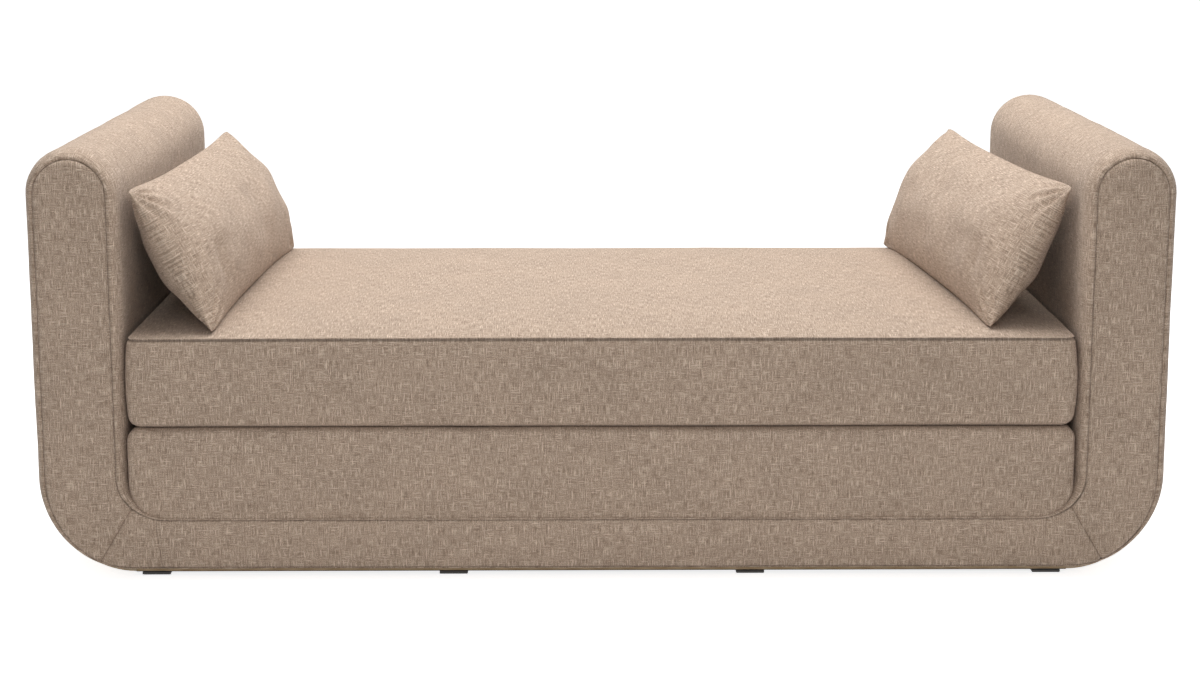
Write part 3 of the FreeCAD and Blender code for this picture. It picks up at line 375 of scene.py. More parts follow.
def band_loops(stations):
    """The band's sides from the front seam to the back seam, as closed loops of points."""
    look = looks()
    front, back = BAND_LOW[1], BAND_HIGH[1]
    roll = []
    for turn in ROLL_TURNS:
        away = math.sin(turn) * look.arm_seam_inset
        behind = look.roll_depth * (1 - math.cos(turn)) + groove(away, look.seam_depth)
        roll.append((behind, 1 - math.sin(turn)))
    between = np.linspace(front + look.roll_depth, back - look.roll_depth, BAND_ROWS + 2)[1:-1]
    rows = [(front + behind, share) for behind, share in roll]
    rows += [(place, 0.0) for place in between]
    rows += [(back - behind, share) for behind, share in reversed(roll)]
    loops = []
    for place, share in rows:
        side, base = look.arm_seam_inset * share, look.base_seam_inset * share
        outer, inner = matched_outlines(side, base, stations)
        right = np.concatenate([outer, inner[-2::-1]])
        left = right[::-1] * np.array([-1, 1])
        loops.append(upright(np.concatenate([right, left[1:-1]]), place))
    return np.array(loops)


def crisp_at_seams(place):
    """Less movement close to the ends of the band, so that its seams stay crisp."""
    near = min(abs(place.y - BAND_LOW[1]), abs(place.y - BAND_HIGH[1]))
    return min(1.0, CRISP_SHARE + near / CRISP_RUN)


class DIVAN_OT_band(bpy.types.Operator):
    """Sews the cover of the U-shaped band: arms, base, and the mitred panels on its ends"""

    bl_idname = "divan.band"
    bl_label = "Band cover"

    def execute(self, context):
        stations, seams = band_stations()
        loops = band_loops(stations)
        rows, columns = loops.shape[:2]
        points = [tuple(point) for point in loops.reshape(-1, 3)]
        faces = strip_faces(rows, columns, True)
        middle = loops[rows // 2]
        round_it = lengths_along(np.concatenate([middle, middle[:1]]))
        uvs = []
        for row, column in np.ndindex(rows - 1, columns):
            near, far = loops[row][column][1], loops[row + 1][column][1]
            a, b = round_it[column], round_it[column + 1]
            uvs.append([(near, a), (near, b), (far, b), (far, a)])
        # painted shade along the front and back seams, standing in for the shadow in their valleys
        painted_shade = [EDGE_PAINTED_SHADE if row in (0, rows - 1) else 0 for row in range(rows) for _ in range(columns)]
        quads = strip_faces(len(stations), len(PANEL_COLUMNS), False)
        for way in (-1, 1):
            panel, panel_painted_shade = band_panel(stations, seams, way)
            for side in (1, -1):
                first = len(points)
                points += [(side * x, y, z) for x, y, z in panel]
                faces += [tuple(first + corner for corner in quad) for quad in quads]
                uvs += [[(side * panel[corner][0], panel[corner][2]) for corner in quad] for quad in quads]
                painted_shade += panel_painted_shade
        replaced = ["arm_cover_left", "arm_cover_right", "turned_in_cloth", "turned_under_cloth"]
        replaced += ["arm_foam_left", "arm_foam_right", "base_foam_front", "base_foam_back"]
        for end in ("front", "back"):
            replaced += [f"{end}_panel_{part}" for part in ("left", "base", "right")]
        band = add_piece("band_cover", points, faces, uvs, "frame", replaced, painted_shade)
        uneven(band, BAND_SWELLS, crisp_at_seams)
        return {"FINISHED"}


# The deck and the seat cushion: loops round a box with soft edges

EASE = 0.12  # how strongly the points of a straight stretch crowd towards its corners
LEAST_CORNER = 0.004
FACE_INSETS = (0.002, 0.005, 0.01, 0.018, 0.03, 0.045, 0.065, 0.09, 0.12, 0.16, 0.21, 0.27, 0.34, 0.41)
CLOSING_HALF = 0.018  # half the width of the strip that closes a flat face
INSET_LIMIT = 0.03  # no loop but the last lies nearer than this to the face's middle
# painted shade in the seat's top seam, 0 to 1
SEAT_PAINTED_SHADE = 0.5


def rounded_loop(low, high, radii, inset, counts):
    """A rounded rectangle drawn in by inset, always with the same number of points. radii are for
    the corners at low and high of the second axis; counts are points on the long, short and bend."""
    a0, b0 = low[0] + inset, low[1] + inset
    a1, b1 = high[0] - inset, high[1] - inset
    largest = min((b1 - b0) / 2, (a1 - a0) / 2) - 1e-4
    lower, upper = (min(max(radius - inset, LEAST_CORNER), largest) for radius in radii)
    long_side, short_side, bend = counts

    def straight(start, end, count):
        """Points along one side, without its last."""
        share = np.linspace(0, 1, count + 1)[:-1]
        eased = share - EASE * np.sin(2 * math.pi * share)
        return np.array(start) + eased[:, None] * (np.array(end) - np.array(start))

    def corner(centre, radius, quarters):
        """Points round one corner, without its last."""
        turns = np.linspace(quarters, quarters + 1, bend + 1)[:-1] * math.pi / 2
        return np.stack([centre[0] + radius * np.cos(turns), centre[1] + radius * np.sin(turns)], axis=1)

    return np.concatenate(
        [
            straight((a0 + lower, b0), (a1 - lower, b0), long_side),
            corner((a1 - lower, b0 + lower), lower, -1),
            straight((a1, b0 + lower), (a1, b1 - upper), short_side),
            corner((a1 - upper, b1 - upper), upper, 0),
            straight((a1 - upper, b1), (a0 + upper, b1), long_side),
            corner((a0 + upper, b1 - upper), upper, 1),
            straight((a0, b1 - upper), (a0, b0 + lower), short_side),
            corner((a0 + lower, b0 + lower), lower, 2),
        ]
    )


def closing_faces(first, counts, total):
    """Faces that close the innermost loop: quads between its long sides, and its two ends."""
    long_side, short_side, bend = counts
    end_points = bend + short_side + bend
    far_side = long_side + end_points
    faces = []
    for step in range(long_side):
        opposite = far_side + long_side - step
        faces.append((first + step, first + step + 1, first + opposite - 1, first + opposite))
    for start in (long_side, far_side + long_side):
        faces.append(tuple(first + (start + k) % total for k in range(end_points + 1)))
    return faces


def loop_uvs(loops, flat_of, wrapped):
    """UVs in metres: from flat_of on the faces of the ends, or round the loop and across the rows."""
    rows, columns = loops.shape[:2]
    middle = loops[rows // 2]
    round_it = lengths_along(np.concatenate([middle, middle[:1]]))
    drop = np.linalg.norm(np.diff(loops, axis=0), axis=2).mean(axis=1)
    down = np.concatenate([[0], np.cumsum(drop)])
    uvs = []
    for row, column in np.ndindex(rows - 1, columns):
        after = (column + 1) % columns
        if wrapped[row]:
            a, b = round_it[column], round_it[column + 1]
            uvs.append([(a, down[row]), (b, down[row]), (b, down[row + 1]), (a, down[row + 1])])
        else:
            here, below = loops[row], loops[row + 1]
            corners = (here[column], here[after], below[after], below[column])
            uvs.append([flat_of(corner) for corner in corners])
    return uvs


def soft_box(name, loops, counts, wrapped, flat_of, replaced, body, painted_shade_rows=()):
    """A closed cover from loops that run from its first end's middle to its last end's middle."""
    rows, columns = loops.shape[:2]
    points = loops.reshape(-1, 3)
    faces = strip_faces(rows, columns, True)
    uvs = loop_uvs(loops, flat_of, wrapped)
    for first in (0, (rows - 1) * columns):
        ends = closing_faces(first, counts, columns)
        faces += ends
        uvs += [[flat_of(points[corner]) for corner in face] for face in ends]
    # painted shade on the given seam rows, standing in for the shadow in their valley
    painted_shade = [SEAT_PAINTED_SHADE if row in painted_shade_rows else 0 for row in range(rows) for _ in range(columns)]
    piece = add_piece(name, points, faces, uvs, body, replaced, painted_shade)
    return piece


def inner_insets(half):
    """How far in the loops on a flat end lie, closer near the edge."""
    return [inset for inset in FACE_INSETS if inset < half - INSET_LIMIT] + [half - CLOSING_HALF]


def rolled_edge(roll, flats):
    """A quarter of a roll, from its face to its side, as pairs of behind and inset."""
    turns = np.linspace(0, math.pi / 2, flats + 1)
    return [(roll * (1 - math.cos(turn)), roll * (1 - math.sin(turn))) for turn in turns]


DECK_COUNTS = (90, 10, 10)  # points on a long side, a short side and a corner
DECK_DOME = 0.0045
DECK_ROWS = 16  # loops along the depth between the two rolls
DECK_FLATS, WRAP_FROM = 6, 4  # flats in a roll, and the row of it from which the weave runs round
DECK_SWELLS = ((0.0022, 0.14, 21.0), (0.0007, 0.04, 27.0))


class DIVAN_OT_deck(bpy.types.Operator):
    """Covers the sprung deck inside the band"""

    bl_idname = "divan.deck"
    bl_label = "Deck cover"

    def execute(self, context):
        look = looks()
        low, high = (-look.arm_reach, DECK_LOW[2]), (look.arm_reach, DECK_HIGH[2])
        front, back = DECK_LOW[1], DECK_HIGH[1]
        radii = (look.deck_lower_corner, look.deck_upper_corner)
        roll = look.deck_roll
        half = (high[1] - low[1]) / 2
        profile = []
        for inset in reversed(inner_insets(half)):
            if inset > roll:
                dome = DECK_DOME * (1 - ((half - inset) / (half - roll)) ** 2)
                profile.append((-dome, inset, False))
        for number, (behind, inset) in enumerate(rolled_edge(roll, DECK_FLATS)):
            profile.append((behind, inset, number >= WRAP_FROM))
        between = np.linspace(front + roll, back - roll, DECK_ROWS + 2)[1:-1]
        rows = [(front + behind, inset, wrap) for behind, inset, wrap in profile]
        rows += [(place, 0.0, True) for place in between]
        rows += [(back - behind, inset, wrap) for behind, inset, wrap in reversed(profile)]
        loops = [
            upright(rounded_loop(low, high, radii, inset, DECK_COUNTS), place) for place, inset, _ in rows
        ]
        deck = soft_box(
            "deck_cover_cloth",
            np.array(loops),
            DECK_COUNTS,
            [wrap for _, _, wrap in rows],
            lambda point: (point[0], point[2]),
            ["deck_cover", "deck_foam_top", "deck_foam_border"],
            "frame",
        )
        uneven(deck, DECK_SWELLS)
        return {"FINISHED"}


SEAT_COUNTS = (96, 48, 8)
SEAT_FLATS = 5
ZIP_MARGIN = 0.0016  # width of the fold above and below the zip's opening
DRAW_IN = 0.003  # how far the long sides draw in at the top seam, at their middle
CROWN_INSET = 0.0016  # from the boxing to where the crown's cloth starts
CROWN_POWER, CROWN_END_POWER = 4.5, 14  # how flat the crown is across and near its ends
END_RUN, END_FALL, END_CROWN = 0.32, 1.8, 0.002  # the crown falls away over this run at the ends
SEAT_SWELLS = ((0.0032, 0.2, 41.0), (0.0010, 0.05, 47.0))
BULGE_RUN, DRAW_RUN = 0.06, 0.03  # how near a side a point lies to take its bulge or draw-in
BULGE_POWER = 0.8  # a fuller curve than a plain bow
PLAIN_TO_SEAM = 0.008  # from the side's last plain row to the top seam
# The top seam row by row: height from it, and inset in metres and in shares of the seam's depth
SEAM_PROFILE = ((-0.003, 0.0007, 0), (-0.0008, 0, 0.8), (0.0006, 0, 0.75), (0.0022, 0.0004, 0))
BACK_REACH = 0.01  # points this near the back side belong to it
RECESS = 0.001  # from the zip's tape to the cloth in its opening
QUIET = (0.02, 0.03)  # from the back and from the zip's height, where the cloth doesn't stir
UNDER_SHARE, UNDER_REACH = 0.2, 0.005  # how much it stirs underneath, and up to which height
SEAM_RUN = 0.012  # how far from the top seam it stirs fully


def seat_rows(look):
    """Rows of the seat cushion from the middle of its underside to the middle of its crown, each
    (height, inset, drawn in, kind)."""
    low, seam = SEAT_LOW[2], CROWN_LOW[2]
    half = (SEAT_HIGH[1] - SEAT_LOW[1]) / 2
    roll, valley = look.seat_roll, look.seam_depth
    rows = [(low, inset, 0.0, "under") for inset in reversed(inner_insets(half)) if inset > roll]
    rows += [(low + behind, inset, 0.0, "side") for behind, inset in rolled_edge(roll, SEAT_FLATS)]
    under_zip, over_zip = TAPE_LOW[2] - ZIP_MARGIN, TAPE_HIGH[2] + ZIP_MARGIN
    levels = [under_zip, TAPE_LOW[2], TAPE_HIGH[2], over_zip]
    levels += list(np.linspace(low + roll, under_zip, 5)[1:-1])
    levels += list(np.linspace(over_zip, seam - PLAIN_TO_SEAM, 6)[1:])
    for level in sorted(levels):
        share = (level - low - roll) / (seam - low - roll)
        rows.append((level, 0.0, DRAW_IN * share**2, "side"))
    for number, (rise, inset, share) in enumerate(SEAM_PROFILE):
        rows.append((seam + rise, inset + valley * share, DRAW_IN, "seam" if number else "side"))
    for inset in [0, *inner_insets(half)]:
        rows.append((seam + look.seat_rim, CROWN_INSET + inset, DRAW_IN, "crown"))
    return rows


def crown_height(x, y, half_x, half_y, height):
    """How far the seat's top swells over its rim at each place."""
    end = np.maximum(0.0, (np.abs(x) - (half_x - END_RUN)) / END_RUN)
    peak = height - (height - END_CROWN) * end**END_FALL
    across = 1 - np.minimum(np.abs(y) / half_y, 1) ** CROWN_POWER
    to_end = 1 - np.minimum(np.abs(x) / half_x, 1) ** CROWN_END_POWER
    return peak * across * to_end


def nearness(place, half, run):
    """0 well inside a side at half, growing over a run to 1 at the side."""
    return np.clip((np.abs(place) - half + run) / run, 0, 1)


def seat_loops(look, low, high):
    """The cushion's loops, with bulged sides, a drawn-in seam, a crown and the zip's recess."""
    middle = (low[1] + high[1]) / 2
    half_x, half_y = (high[0] - low[0]) / 2, (high[1] - low[1]) / 2
    under, seam = SEAT_LOW[2], CROWN_LOW[2]
    swell = CROWN_HIGH[2] - seam - look.seat_rim
    loops = []
    for level, inset, drawn, kind in seat_rows(look):
        flat = rounded_loop(low, high, (look.seat_corner, look.seat_corner), inset, SEAT_COUNTS)
        x, y = flat[:, 0].copy(), flat[:, 1] - middle
        z = np.full(len(flat), level)
        if kind == "side":
            share = min(max((level - under) / (seam - under), 0), 1)
            out = look.seat_bulge * math.sin(math.pi * share) ** BULGE_POWER
            x += np.sign(x) * out * nearness(x, half_x, BULGE_RUN)
            y += np.sign(y) * out * nearness(y, half_y, BULGE_RUN)
        y -= np.sign(y) * drawn * (1 - (x / half_x) ** 2) * nearness(y, half_y, DRAW_RUN)
        if kind == "crown":
            z += crown_height(x, y, half_x, half_y, swell)
        loops.append(np.stack([x, y + middle, z], axis=1))
    loops = np.array(loops)
    across, depth, level = np.moveaxis(loops, 2, 0)
    at_zip = (level > TAPE_LOW[2] - 1e-4) & (level < TAPE_HIGH[2] + 1e-4)
    at_back = (depth > high[1] - BACK_REACH) & (np.abs(across) < TAPE_HIGH[0])
    depth[at_zip & at_back] = TAPE_LOW[1] - RECESS
    return loops


class DIVAN_OT_seat(bpy.types.Operator):
    """Sews the loose seat cushion with its crowned top and the zip's opening at the back"""

    bl_idname = "divan.seat"
    bl_label = "Seat cushion"

    def execute(self, context):
        look = looks()
        bulge = look.seat_bulge
        low = (bulge - look.arm_reach, SEAT_LOW[1] + bulge)
        high = (look.arm_reach - bulge, SEAT_HIGH[1] - bulge)
        kinds = [kind for _, _, _, kind in seat_rows(look)]
        seat = soft_box(
            "seat_cushion_cover",
            seat_loops(look, low, high),
            SEAT_COUNTS,
            [kind in ("side", "seam") for kind in kinds],
            lambda point: (point[0], point[1]),
            ["seat_top_panel", "seat_boxing", "seat_bottom_panel", "seat_foam_core", "seat_wadding"],
            "seat_cushion",
            [number for number, kind in enumerate(kinds) if kind == "seam"],
        )

        def share_at(point):
            """None at the zip, little underneath, and less near the top seam."""
            zip_height = (TAPE_LOW[2] + TAPE_HIGH[2]) / 2
            if point.y > high[1] - QUIET[0] and abs(point.z - zip_height) < QUIET[1]:
                return 0.0
            if point.z <= SEAT_LOW[2] + UNDER_REACH:
                return UNDER_SHARE
            return min(abs(point.z - CROWN_LOW[2]) / SEAM_RUN, 1.0)

        uneven(seat, SEAT_SWELLS, share_at)
        return {"FINISHED"}


# The pillows: shares u along and v across a face run from -1 to 1

PILLOW_COLUMNS, PILLOW_ROWS = 132, 56
WAIST = 0.014  # how much narrower a pillow is at its middle than at its ears, on each side
END_WAIST = 0.012  # the same for its short seams
SIDE_POWER, END_POWER = 3.2, 2.5  # the higher, the later a seam runs out to its ears
EAR_POWER, EAR_ALONG, EAR_ACROSS = 14, 0.012, 0.05  # how sharply and how far an ear is blunted
FALL_ALONG, FALL_ACROSS = (5.5, 0.62), (2.15, 0.82)  # powers of the thickness towards the seams
EAR_THINNING = 0.35
CREASE = (-0.006, (-0.74, -0.34), (0.05, 0.30))  # height, place and spread on the front face
BESIDE_CREASE = (0.004, (-0.62, -0.02), (0.2, 0.14))
GATHERS = (0.0028, 0.02, 0.004)  # height, reach from the seam, and start beside it
SLACK, SLACK_RUN = 0.006, 0.06
RIPPLES, RIPPLE_RING, RIPPLE_WIDTH, RIPPLE_RUN = 0.0042, 0.05, 0.035, 0.012  # round each ear
RIPPLE_RATE = 13
LIP = 0.0006  # how much the cloth's width strays along the seams
CROWDED_ROWS, CROWDED_COLUMNS = 0.55, 0.75


def pillow_outline(u, v, look):
    """Where a place lies in the pillow's flat plane, with drawn-in sides and blunted ears."""
    wide = look.pillow_width / 2 - WAIST * (1 - abs(u) ** SIDE_POWER)
    far = look.pillow_length / 2 - END_WAIST * (1 - abs(v) ** END_POWER)
    ear = abs(u * v) ** EAR_POWER
    return u * far * (1 - EAR_ALONG * ear), v * wide * (1 - EAR_ACROSS * ear)


def bump(u, v, height, centre, spread):
    """A height at a centre that falls away over its spread along and across."""
    return height * math.exp(-(((u - centre[0]) / spread[0]) ** 2) - ((v - centre[1]) / spread[1]) ** 2)


def fall(share, powers):
    """1 at the middle of a face, 0 at its seam."""
    return (1 - abs(share) ** powers[0]) ** powers[1]


def pillow_swell(u, v, look, side, face):
    """Half thickness at a place, with folds at the ears, a soft crease and gathers at the seams."""
    half_length, half_width = look.pillow_length / 2, look.pillow_width / 2
    swell = look.pillow_thickness / 2 * fall(u, FALL_ALONG) * fall(v, FALL_ACROSS)
    swell *= 1 - EAR_THINNING * abs(u * v) ** 3
    if face > 0:
        swell += bump(u, v, *CREASE)
        swell += bump(u, v, *BESIDE_CREASE)
    edge = min((1 - abs(u)) * half_length, (1 - abs(v)) * half_width)
    height, reach, start = GATHERS
    gathered = math.exp(-edge / reach) * (1 - math.exp(-edge / start))
    swell += height * gathered * noise.noise(Vector((u * 22 + side * 7, v * 9, face * 3.0)))
    slack = min(edge / SLACK_RUN, 1)
    swell += SLACK * slack * noise.noise(Vector((u * 3.4, v * 2.2, 5.0 * side + face)))
    fan = 0.0
    for end in (-1, 1):
        for top in (-1, 1):
            along, across = abs(end - u) * half_length, abs(top - v) * half_width
            ring = groove(math.hypot(along, across) - RIPPLE_RING, RIPPLES, RIPPLE_WIDTH)
            fan += ring * math.cos(math.atan2(across, along) * RIPPLE_RATE + end + side)
    return max(swell + fan * min(edge / RIPPLE_RUN, 1), 0.0)


def crowded(count, share):
    """Places from -1 to 1 that crowd towards both ends by a share."""
    even = np.linspace(-1, 1, count + 1)
    return share * np.sin(even * math.pi / 2) + (1 - share) * even


def build_pillow(name, side, turn):
    """One knife-edge pillow: two faces that meet at a seam, leaning on its arm."""
    look = looks()
    points, flat = [], []
    for face in (1, -1):
        for v in crowded(PILLOW_ROWS, CROWDED_ROWS):
            for u in crowded(PILLOW_COLUMNS, CROWDED_COLUMNS):
                y, z = pillow_outline(u, v, look)
                on_edge = max(abs(u), abs(v)) > 0.99999
                swell = 0.0 if on_edge else pillow_swell(u, v, look, side, face)
                lip = LIP * noise.noise(Vector((y * 60, z * 60, side)))
                points.append((-side * face * swell, y * (1 + lip), z))
                flat.append((z, y))
    rows, columns = PILLOW_ROWS + 1, PILLOW_COLUMNS + 1
    quads = strip_faces(rows, columns, False) + strip_faces(rows, columns, False, columns * rows)
    uvs = [[flat[corner] for corner in quad] for quad in quads]
    lean = Euler((0, side * look.pillow_lean, 0)).to_matrix()
    turned = Euler((0, 0, side * turn)).to_matrix() @ lean
    placed = np.array(points) @ np.array(turned).T
    low, high = joint_box(f"{name}_front", f"{name}_back")
    shift = (low + high) / 2 - (placed.min(axis=0) + placed.max(axis=0)) / 2
    shift[2] = low[2] - placed[:, 2].min()
    nodes = [f"{name}_{part}" for part in ("front", "back", "filling")]
    pillow = add_piece(f"{name}_cover", placed + shift, quads, uvs, name, nodes)


class DIVAN_OT_pillows(bpy.types.Operator):
    """Makes the two knife-edge pillows that lean on the arms"""

    bl_idname = "divan.pillows"
    bl_label = "Pillows"

    def execute(self, context):
        build_pillow("pillow_left", -1, looks().left_pillow_turn)
        build_pillow("pillow_right", 1, looks().right_pillow_turn)
        return {"FINISHED"}


# Nodes


def feed(tree, target, inputs):
    """Links or sets a node's inputs, by their names or places."""
    for key, value in inputs.items():
        if isinstance(value, bpy.types.NodeSocket):
            tree.links.new(value, target.inputs[key])
        else:
            target.inputs[key].default_value = value


def add_node(tree, kind, inputs=None, **settings):
    """A node of a kind with its settings and its inputs."""
    made = tree.nodes.new(kind)
    for name, value in settings.items():
        setattr(made, name, value)
    feed(tree, made, inputs or {})
    return made


def calculate(tree, operation, first, second):
    """The result of a math node."""
    return add_node(tree, "ShaderNodeMath", {0: first, 1: second}, operation=operation).outputs[0]


def mix_colour(tree, factor, first, second):
    """A colour between two, by a factor."""
    mix = add_node(tree, "ShaderNodeMix", data_type="RGBA")
    feed(tree, mix, {"Factor": factor, 6: first, 7: second})
    return mix.outputs[2]


def opaque(colour, share=1.0):
    """A colour with its alpha, at a share of its brightness."""
    return tuple(min(share * part, 1) for part in colour) + (1.0,)


# Repeated small things along paths

BLOCK_SIZES = ("Spacing", "Length", "Width", "Height")


def repeat_tree(name):
    """Geometry Nodes: evenly spaced small blocks along a line, turned with it."""
    tree = bpy.data.node_groups.new(name, "GeometryNodeTree")
    socket = tree.interface.new_socket
    socket("Geometry", in_out="INPUT", socket_type="NodeSocketGeometry")
    for label in BLOCK_SIZES:
        socket(label, in_out="INPUT", socket_type="NodeSocketFloat")
    socket("Finish", in_out="INPUT", socket_type="NodeSocketMaterial")
    socket("Geometry", in_out="OUTPUT", socket_type="NodeSocketGeometry")
    given = add_node(tree, "NodeGroupInput").outputs
    curve = add_node(tree, "GeometryNodeMeshToCurve", {"Mesh": given["Geometry"]}).outputs["Curve"]
    spaced = {"Curve": curve, "Length": given["Spacing"]}
    points = add_node(tree, "GeometryNodeResampleCurve", spaced, mode="LENGTH").outputs["Curve"]
    sides = {"X": given["Length"], "Y": given["Width"], "Z": given["Height"]}
    size = add_node(tree, "ShaderNodeCombineXYZ", sides).outputs["Vector"]
    block = add_node(tree, "GeometryNodeMeshCube", {"Size": size}).outputs["Mesh"]
    tangent = add_node(tree, "GeometryNodeInputTangent").outputs["Tangent"]
    turn = add_node(tree, "FunctionNodeAlignRotationToVector", {"Vector": tangent}, axis="X")
    placing = {"Points": points, "Instance": block, "Rotation": turn.outputs["Rotation"]}
    placed = add_node(tree, "GeometryNodeInstanceOnPoints", placing).outputs["Instances"]
    real = add_node(tree, "GeometryNodeRealizeInstances", {"Geometry": placed}).outputs["Geometry"]
    finish = add_node(tree, "GeometryNodeSetMaterial", {"Geometry": real, "Material": given["Finish"]})
    add_node(tree, "NodeGroupOutput", {"Geometry": finish.outputs["Geometry"]})
    return tree


def along_lines(name, lines, sizes, material):
    """Repeats a small block along polylines. sizes are spacing, length, width and height."""
    points, edges = [], []
    for line in lines:
        first = len(points)
        points += [tuple(point) for point in line]
        edges += [(first + k, first + k + 1) for k in range(len(line) - 1)]
    mesh = bpy.data.meshes.new(name + "_path")
    mesh.from_pydata(points, edges, [])
    piece = bpy.data.objects.new(name, mesh)
    bpy.context.scene.collection.objects.link(piece)
    tree = bpy.data.node_groups.get("repeat_along_line") or repeat_tree("repeat_along_line")
    modifier = piece.modifiers.new("repeat", "NODES")
    modifier.node_group = tree
    sockets = {item.name: item.identifier for item in tree.interface.items_tree if item.in_out == "INPUT"}
    for label, value in zip(BLOCK_SIZES, sizes):
        modifier[sockets[label]] = value
    modifier[sockets["Finish"]] = material
    bpy.context.view_layer.update()
    graph = bpy.context.evaluated_depsgraph_get()
    made = bpy.data.meshes.new_from_object(piece.evaluated_get(graph))
    piece.modifiers.clear()
    piece.data = made
    made.name = name
    return piece


TOOTH = (0.0022, 0.0013, 0.0013, 0.0034)  # spacing, length, width and height
STITCH = (0.0042, 0.0031, 0.0008, 0.0008)
STAPLE = (0.045, 0.011, 0.0012, 0.0009)
STAPLE_INSIDE = 0.044  # from the dust cover's ends to the staples
STAPLE_ROW = 0.385  # from the middle to the front and back rows of staples
STAPLE_BELOW = 0.0004
TOOTH_ROW, TOOTH_SHIFT = 0.0013, 0.0011  # the two rows lie apart and half a step along
CHAIN_MARGINS = (0.001, 0.002)  # from the chain's ends to the first and last teeth
STITCH_OUT = 0.0016  # from the tape to the stitches on the cloth behind it
STITCH_ALONG, STITCH_UP = 0.006, 0.0045  # from the tape's edges to the lines of stitches


class DIVAN_OT_zip(bpy.types.Operator):
    """Makes the zip's rows of teeth and the stitches that hold its tape in the cushion's back"""

    bl_idname = "divan.zip"
    bl_label = "Zip teeth and stitches"

    def execute(self, context):
        _, depth, level = (CHAIN_LOW + CHAIN_HIGH) / 2
        first, last = CHAIN_LOW[0] + CHAIN_MARGINS[0], CHAIN_HIGH[0] - CHAIN_MARGINS[1]
        rows = []
        for offset, shift in ((-TOOTH_ROW, 0.0), (TOOTH_ROW, TOOTH_SHIFT)):
            rows.append([(end + shift, depth, level + offset) for end in (first, last)])
        teeth = along_lines("zip_teeth", rows, TOOTH, grained(ZIP_TEETH))
        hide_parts("seat_zip_chain")
        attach(teeth, "seat_cushion")
        out = TAPE_HIGH[1] + STITCH_OUT
        reach = TAPE_HIGH[0] + STITCH_ALONG
        rise = (TAPE_HIGH[2] - TAPE_LOW[2]) / 2 + STITCH_UP
        lines = [[(-reach, out, level + way * rise), (reach, out, level + way * rise)] for way in (-1, 1)]
        lines += [[(way * reach, out, level - rise), (way * reach, out, level + rise)] for way in (-1, 1)]
        stitches = along_lines("zip_stitches", lines, STITCH, grained(THREAD))
        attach(stitches, "seat_cushion")
        return {"FINISHED"}


class DIVAN_OT_staples(bpy.types.Operator):
    """Drives the staples that hold the dust cover's rim"""

    bl_idname = "divan.staples"
    bl_label = "Dust cover staples"

    def execute(self, context):
        low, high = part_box("dust_cover")
        x, y = high.x - STAPLE_INSIDE, STAPLE_ROW
        z = low.z - STAPLE_BELOW
        rim = [(-x, -y, z), (x, -y, z), (x, y, z), (-x, y, z), (-x, -y, z)]
        staples = along_lines("dust_cover_staples", [rim], STAPLE, grained(STEEL))
        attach(staples, "frame")
        return {"FINISHED"}


# Finishes


def new_material(name):
    """A material with its node tree and its shader."""
    material = bpy.data.materials.new(name)
    material.use_nodes = True
    return material, material.node_tree, material.node_tree.nodes["Principled BSDF"]


def weave_group():
    """A slubby plain weave on cloth in metres: where its pale slubs and dark gaps lie, the tone of
    its threads and its height."""
    tree = bpy.data.node_groups.new("slubby_weave", "ShaderNodeTree")
    rates = (("Threads", 620.0), ("Slubs", 48.0), ("Slub Width", 560.0))  # changes in each metre
    for label, rate in rates:
        socket = tree.interface.new_socket(label, in_out="INPUT", socket_type="NodeSocketFloat")
        socket.default_value = rate
    tree.interface.new_socket("Vector", in_out="INPUT", socket_type="NodeSocketVector")
    for label in ("Slub", "Shade", "Tone", "Height"):
        tree.interface.new_socket(label, in_out="OUTPUT", socket_type="NodeSocketFloat")
    given = add_node(tree, "NodeGroupInput").outputs
    place = add_node(tree, "ShaderNodeSeparateXYZ", {0: given["Vector"]}).outputs

    def streak(across, along, rate_across, rate_along, detail, seed):
        """Noise drawn out along one thread direction."""
        x = calculate(tree, "MULTIPLY", place[across], given[rate_across])
        y = calculate(tree, "MULTIPLY", place[along], given[rate_along])
        vector = add_node(tree, "ShaderNodeCombineXYZ", {"X": x, "Y": y, "Z": seed}).outputs[0]
        inputs = {"Vector": vector, "Scale": 1.0, "Detail": detail, "Roughness": 0.6}
        return add_node(tree, "ShaderNodeTexNoise", inputs).outputs["Fac"]

    def either(limits_up, limits_level):
        """Where the noise of either direction passes from its first limit to its second."""
        ranges = []
        for value, (start, end) in ((warp, limits_up), (weft, limits_level)):
            inputs = {"Value": value, "From Min": start, "From Max": end}
            step = add_node(tree, "ShaderNodeMapRange", inputs, interpolation_type="SMOOTHSTEP")
            ranges.append(step.outputs["Result"])
        return calculate(tree, "MAXIMUM", *ranges)

    def weighted(first, weight, second, second_weight):
        """The sum of two values, each by its weight."""
        parts = ((first, weight), (second, second_weight))
        return calculate(tree, "ADD", *(calculate(tree, "MULTIPLY", *part) for part in parts))

    warp = streak("X", "Y", "Slub Width", "Slubs", 2.0, 3.0)
    weft = streak("Y", "X", "Slub Width", "Slubs", 2.0, 11.0)
    fine_warp = streak("X", "Y", "Threads", "Slub Width", 1.0, 19.0)
    fine_weft = streak("Y", "X", "Threads", "Slub Width", 1.0, 27.0)
    grain = calculate(tree, "ADD", fine_warp, fine_weft)
    slow_inputs = {"Vector": given["Vector"], "Scale": 9.0, "Detail": 3.0}
    slow = add_node(tree, "ShaderNodeTexNoise", slow_inputs).outputs["Fac"]
    relief = weighted(calculate(tree, "ADD", warp, weft), 0.9, grain, 0.35)
    results = {
        "Slub": either((0.54, 0.72), (0.56, 0.74)),
        "Shade": either((0.46, 0.32), (0.44, 0.30)),
        "Tone": weighted(slow, 0.10, grain, 0.45),
        "Height": relief,
    }
    add_node(tree, "NodeGroupOutput", results)
    return tree


